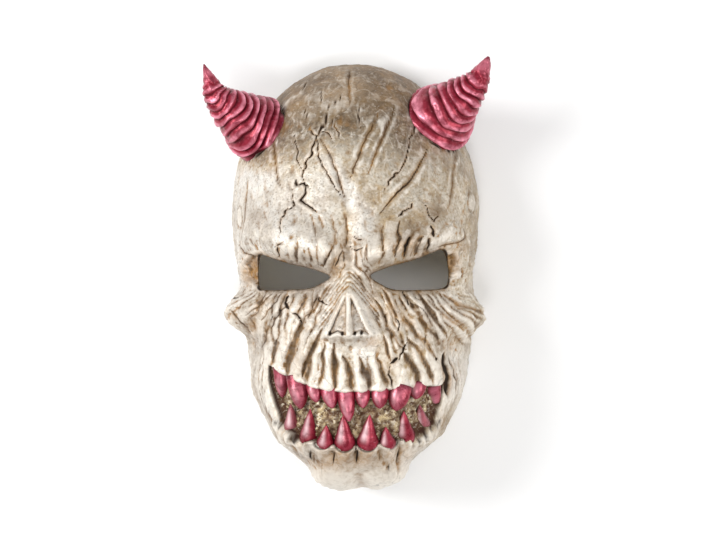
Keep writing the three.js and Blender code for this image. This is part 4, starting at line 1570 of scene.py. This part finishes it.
def foil_colour(n, cavity, blotch):
    """Crumpled gold and cream foil of the mouth.

    Painted shade darkens its hollows, and small specks are dark or pale, the pale ones painted glints.
    """
    specks_and_glints = n.noise(420, 5, 1.2)
    foil = n.over((96, 70, 44), (190, 170, 132), cavity, 0.26, 0.56)
    foil = n.over(foil, (78, 54, 34), specks_and_glints, 0.45, 0.36, 0, 0.85)
    foil = n.over(foil, (236, 226, 204), specks_and_glints, 0.54, 0.62, 0, 0.8)
    return n.over(foil, (112, 80, 56), blotch, 0.5, 0.62, 0, 0.6)


def bone_material():
    """Pearl bone paint with brown washed into its hollows, and with painted shade and highlights."""
    n = Nodes("pearl bone rubber")
    cavity, dark, ochre = n.attribute("relief")
    mouth_zone, pale_and_lit_zone, pale_spot = n.attribute("zones")
    blotch = n.noise(55, 5, 0.6)
    mottle = n.noise(330, 6, 0.5)
    colour, fleck = bone_colour(n, mottle, blotch, pale_and_lit_zone)
    # Pale paint dry-brushed on the ridges and spots, partly painted highlight
    pale_and_highlight = n.maths("MAXIMUM", n.span(cavity, 0.56, 0.78, 0, 0.95), pale_spot)
    pale_and_highlight = n.maths("MULTIPLY", pale_and_highlight, n.span(mottle, 0.66, 0.44, 0.6, 1))
    colour = n.blend(pale_and_highlight, colour, (230, 222, 210))
    # Brown in the hollows and from the ochre coat, partly painted shade
    wash_and_shade = n.maths("MAXIMUM", n.span(cavity, 0.46, 0.24, 0, 0.9), ochre)
    wash_and_shade = n.maths("MULTIPLY", wash_and_shade, n.span(mottle, 0.3, 0.6, 0.65, 1.0))
    colour = n.blend(wash_and_shade, colour, n.over((104, 73, 38), (156, 114, 58), blotch, 0.4, 0.6))
    colour = n.blend(mouth_zone, colour, foil_colour(n, cavity, blotch))
    hairline = n.maths("MULTIPLY", n.span(n.crackle(75), 0.0, 0.03, 0.4, 0), n.span(blotch, 0.52, 0.62))
    # Dark paint of cracks and lines, with painted shade at the mouth, the teeth, the horn feet and the eyes
    dark_paint_and_shade = n.maths("MAXIMUM", n.span(dark, 0.3, 0.72), hairline)
    dark_paint_and_shade = n.maths("MAXIMUM", n.span(cavity, 0.16, 0.0, 0, 0.6), dark_paint_and_shade)
    colour = n.blend(dark_paint_and_shade, colour, n.blend(mouth_zone, (40, 29, 20), (66, 36, 26)))
    n.bump((mottle, 0.5, 0.0008), (fleck, 0.4, 0.0005), (n.noise(1500, 3), 0.2, 0.0002))
    roughness = n.maths("MAXIMUM", n.span(mottle, 0.3, 0.7, 0.42, 0.6), n.span(dark_paint_and_shade, 0.1, 0.7, 0.0, 0.95))
    return n.finish(colour, roughness, n.span(dark_paint_and_shade, 0.0, 0.6, 0.3, 0.0), 0.25)


def crimson_material():
    """Pearl crimson paint, in painted light and shade.

    Painted shade darkens the grooves, the feet and the sides away from the light, and painted highlights in
    pink and near white lie on the ribs and on the sides of the teeth towards the light.
    """
    n = Nodes("pearl crimson rubber")
    light_and_shade, foot, painted_highlight = n.attribute("relief")
    mottle = n.noise(170, 5, 0.5)
    fleck = n.noise(700, 3)
    colour = n.over((120, 20, 38), (156, 46, 64), mottle, 0.35, 0.65)
    # Pink painted highlight
    painted_light = n.maths("MULTIPLY", n.span(light_and_shade, 0.62, 0.98), n.span(mottle, 0.4, 0.6, 0.35, 1.0))
    colour = n.blend(painted_light, colour, (236, 150, 170))
    # Painted shade in the grooves and on the sides away from the light
    colour = n.over(colour, (84, 2, 18), light_and_shade, 0.5, 0.12)
    # Painted shade at the feet
    colour = n.over(colour, (64, 4, 14), foot, 0.2, 1.0, 0, 0.8)
    # Near white painted highlight on the teeth
    painted_highlight = n.maths("MULTIPLY", painted_highlight, n.span(mottle, 0.34, 0.6, 0.6, 1.0))
    colour = n.blend(painted_highlight, colour, (250, 214, 218))
    colour = n.over(colour, (226, 164, 176), fleck, 0.62, 0.8, 0, 0.35)
    n.bump((mottle, 0.4, 0.0008), (fleck, 0.3, 0.0004))
    roughness = n.maths("MAXIMUM", n.span(mottle, 0.3, 0.7, 0.24, 0.36), n.span(light_and_shade, 0.1, 0.5, 0.7, 0.2))
    return n.finish(colour, roughness, n.span(light_and_shade, 0.1, 0.6, 0.5, 0.3), 0.3)


def latex_material():
    """Raw cream latex of the inside, with stains and small bubbles."""
    n = Nodes("raw latex")
    blotch = n.noise(40, 5, 0.8)
    mottle = n.noise(240)
    colour = n.over((203, 184, 146), (222, 207, 174), blotch, 0.35, 0.65)
    colour = n.over(colour, (176, 150, 108), mottle, 0.55, 0.75, 0, 0.5)
    n.bump((blotch, 0.4, 0.0015), (mottle, 0.4, 0.0005))
    return n.finish(colour, n.span(mottle, 0.3, 0.7, 0.5, 0.68), 0.0)


def floor_material():
    n = Nodes("pale floor")
    mottle = n.noise(6, 3)
    colour = n.blend(mottle, *((grey, grey, grey) for grey in FLOOR_GREYS))
    return n.finish(colour, n.span(mottle, 0, 1, 0.55, 0.65), 0.0)


# Stage


def floor():
    mesh = bpy.data.meshes.new("floor")
    corners = [(x * FLOOR_HALF, y * FLOOR_HALF, FLOOR_Z) for x, y in ((-1, -1), (1, -1), (1, 1), (-1, 1))]
    mesh.from_pydata(corners, [], [(0, 1, 2, 3)])
    mesh.materials.append(floor_material())
    piece = bpy.data.objects.new("floor", mesh)
    bpy.context.scene.collection.objects.link(piece)


def camera():
    """Looks down on the face from the photograph's angle and distance."""
    axis_z = Vector((math.sin(CAMERA_YAW), 0, math.cos(CAMERA_YAW)))
    level_x = Vector((0, 1, 0)).cross(axis_z)
    level_y = axis_z.cross(level_x)
    axis_x = level_x * math.cos(CAMERA_ROLL) - level_y * math.sin(CAMERA_ROLL)
    axis_y = level_x * math.sin(CAMERA_ROLL) + level_y * math.cos(CAMERA_ROLL)
    right = (PHOTO_CENTRE[0] - EYE_PIXEL[0]) * MM_PER_PIXEL
    up = (EYE_PIXEL[1] - PHOTO_CENTRE[1]) * MM_PER_PIXEL
    target = Vector((0, SHIFT_Y, LOOK_Z)) + axis_x * right + axis_y * up
    data = bpy.data.cameras.new("camera")
    data.sensor_width = SENSOR
    data.lens = SENSOR * CAMERA_DISTANCE / (PHOTO_WIDTH * MM_PER_PIXEL)
    data.clip_start, data.clip_end = 0.05, 20
    seen = bpy.data.objects.new("camera", data)
    turned = Matrix((axis_x, axis_y, axis_z)).transposed().to_4x4()
    turned.translation = (target + axis_z * CAMERA_DISTANCE) / 1000
    seen.matrix_world = turned
    bpy.context.scene.collection.objects.link(seen)
    bpy.context.scene.camera = seen


def lights():
    world = bpy.data.worlds.new("studio")
    world.use_nodes = True
    background = world.node_tree.nodes["Background"]
    background.inputs["Color"].default_value = (1, 1, 1, 1)
    background.inputs["Strength"].default_value = WORLD_STRENGTH
    bpy.context.scene.world = world
    bpy.context.scene.view_settings.view_transform = "Standard"
    for name, place, size, power in LIGHTS:
        data = bpy.data.lights.new(name, "AREA")
        data.shape = "DISK"
        data.size = size
        data.energy = power
        lamp = bpy.data.objects.new(name, data)
        lamp.location = place
        lamp.rotation_euler = (LIGHT_TARGET - lamp.location).to_track_quat("-Z", "Y").to_euler()
        bpy.context.scene.collection.objects.link(lamp)


def main():
    camera()
    lights()
    floor()
    bone, crimson, latex = bone_material(), crimson_material(), latex_material()
    pieces = [
        (face(bone, latex), "mask_face", "bone_rubber"),
        (teeth("upper_teeth", UPPER_ROW, crimson), "mask_face", "crimson_rubber"),
        (teeth("lower_teeth", LOWER_ROW, crimson), "mask_face", "crimson_rubber"),
        (horn("left_horn_skin", LEFT_HORN, 1, crimson), "left_horn", "crimson_rubber"),
        (horn("right_horn_skin", RIGHT_HORN, 2, crimson), "right_horn", "crimson_rubber"),
    ]
    for piece, node, slot in pieces:
        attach(piece, "root")
        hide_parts(node)


main()
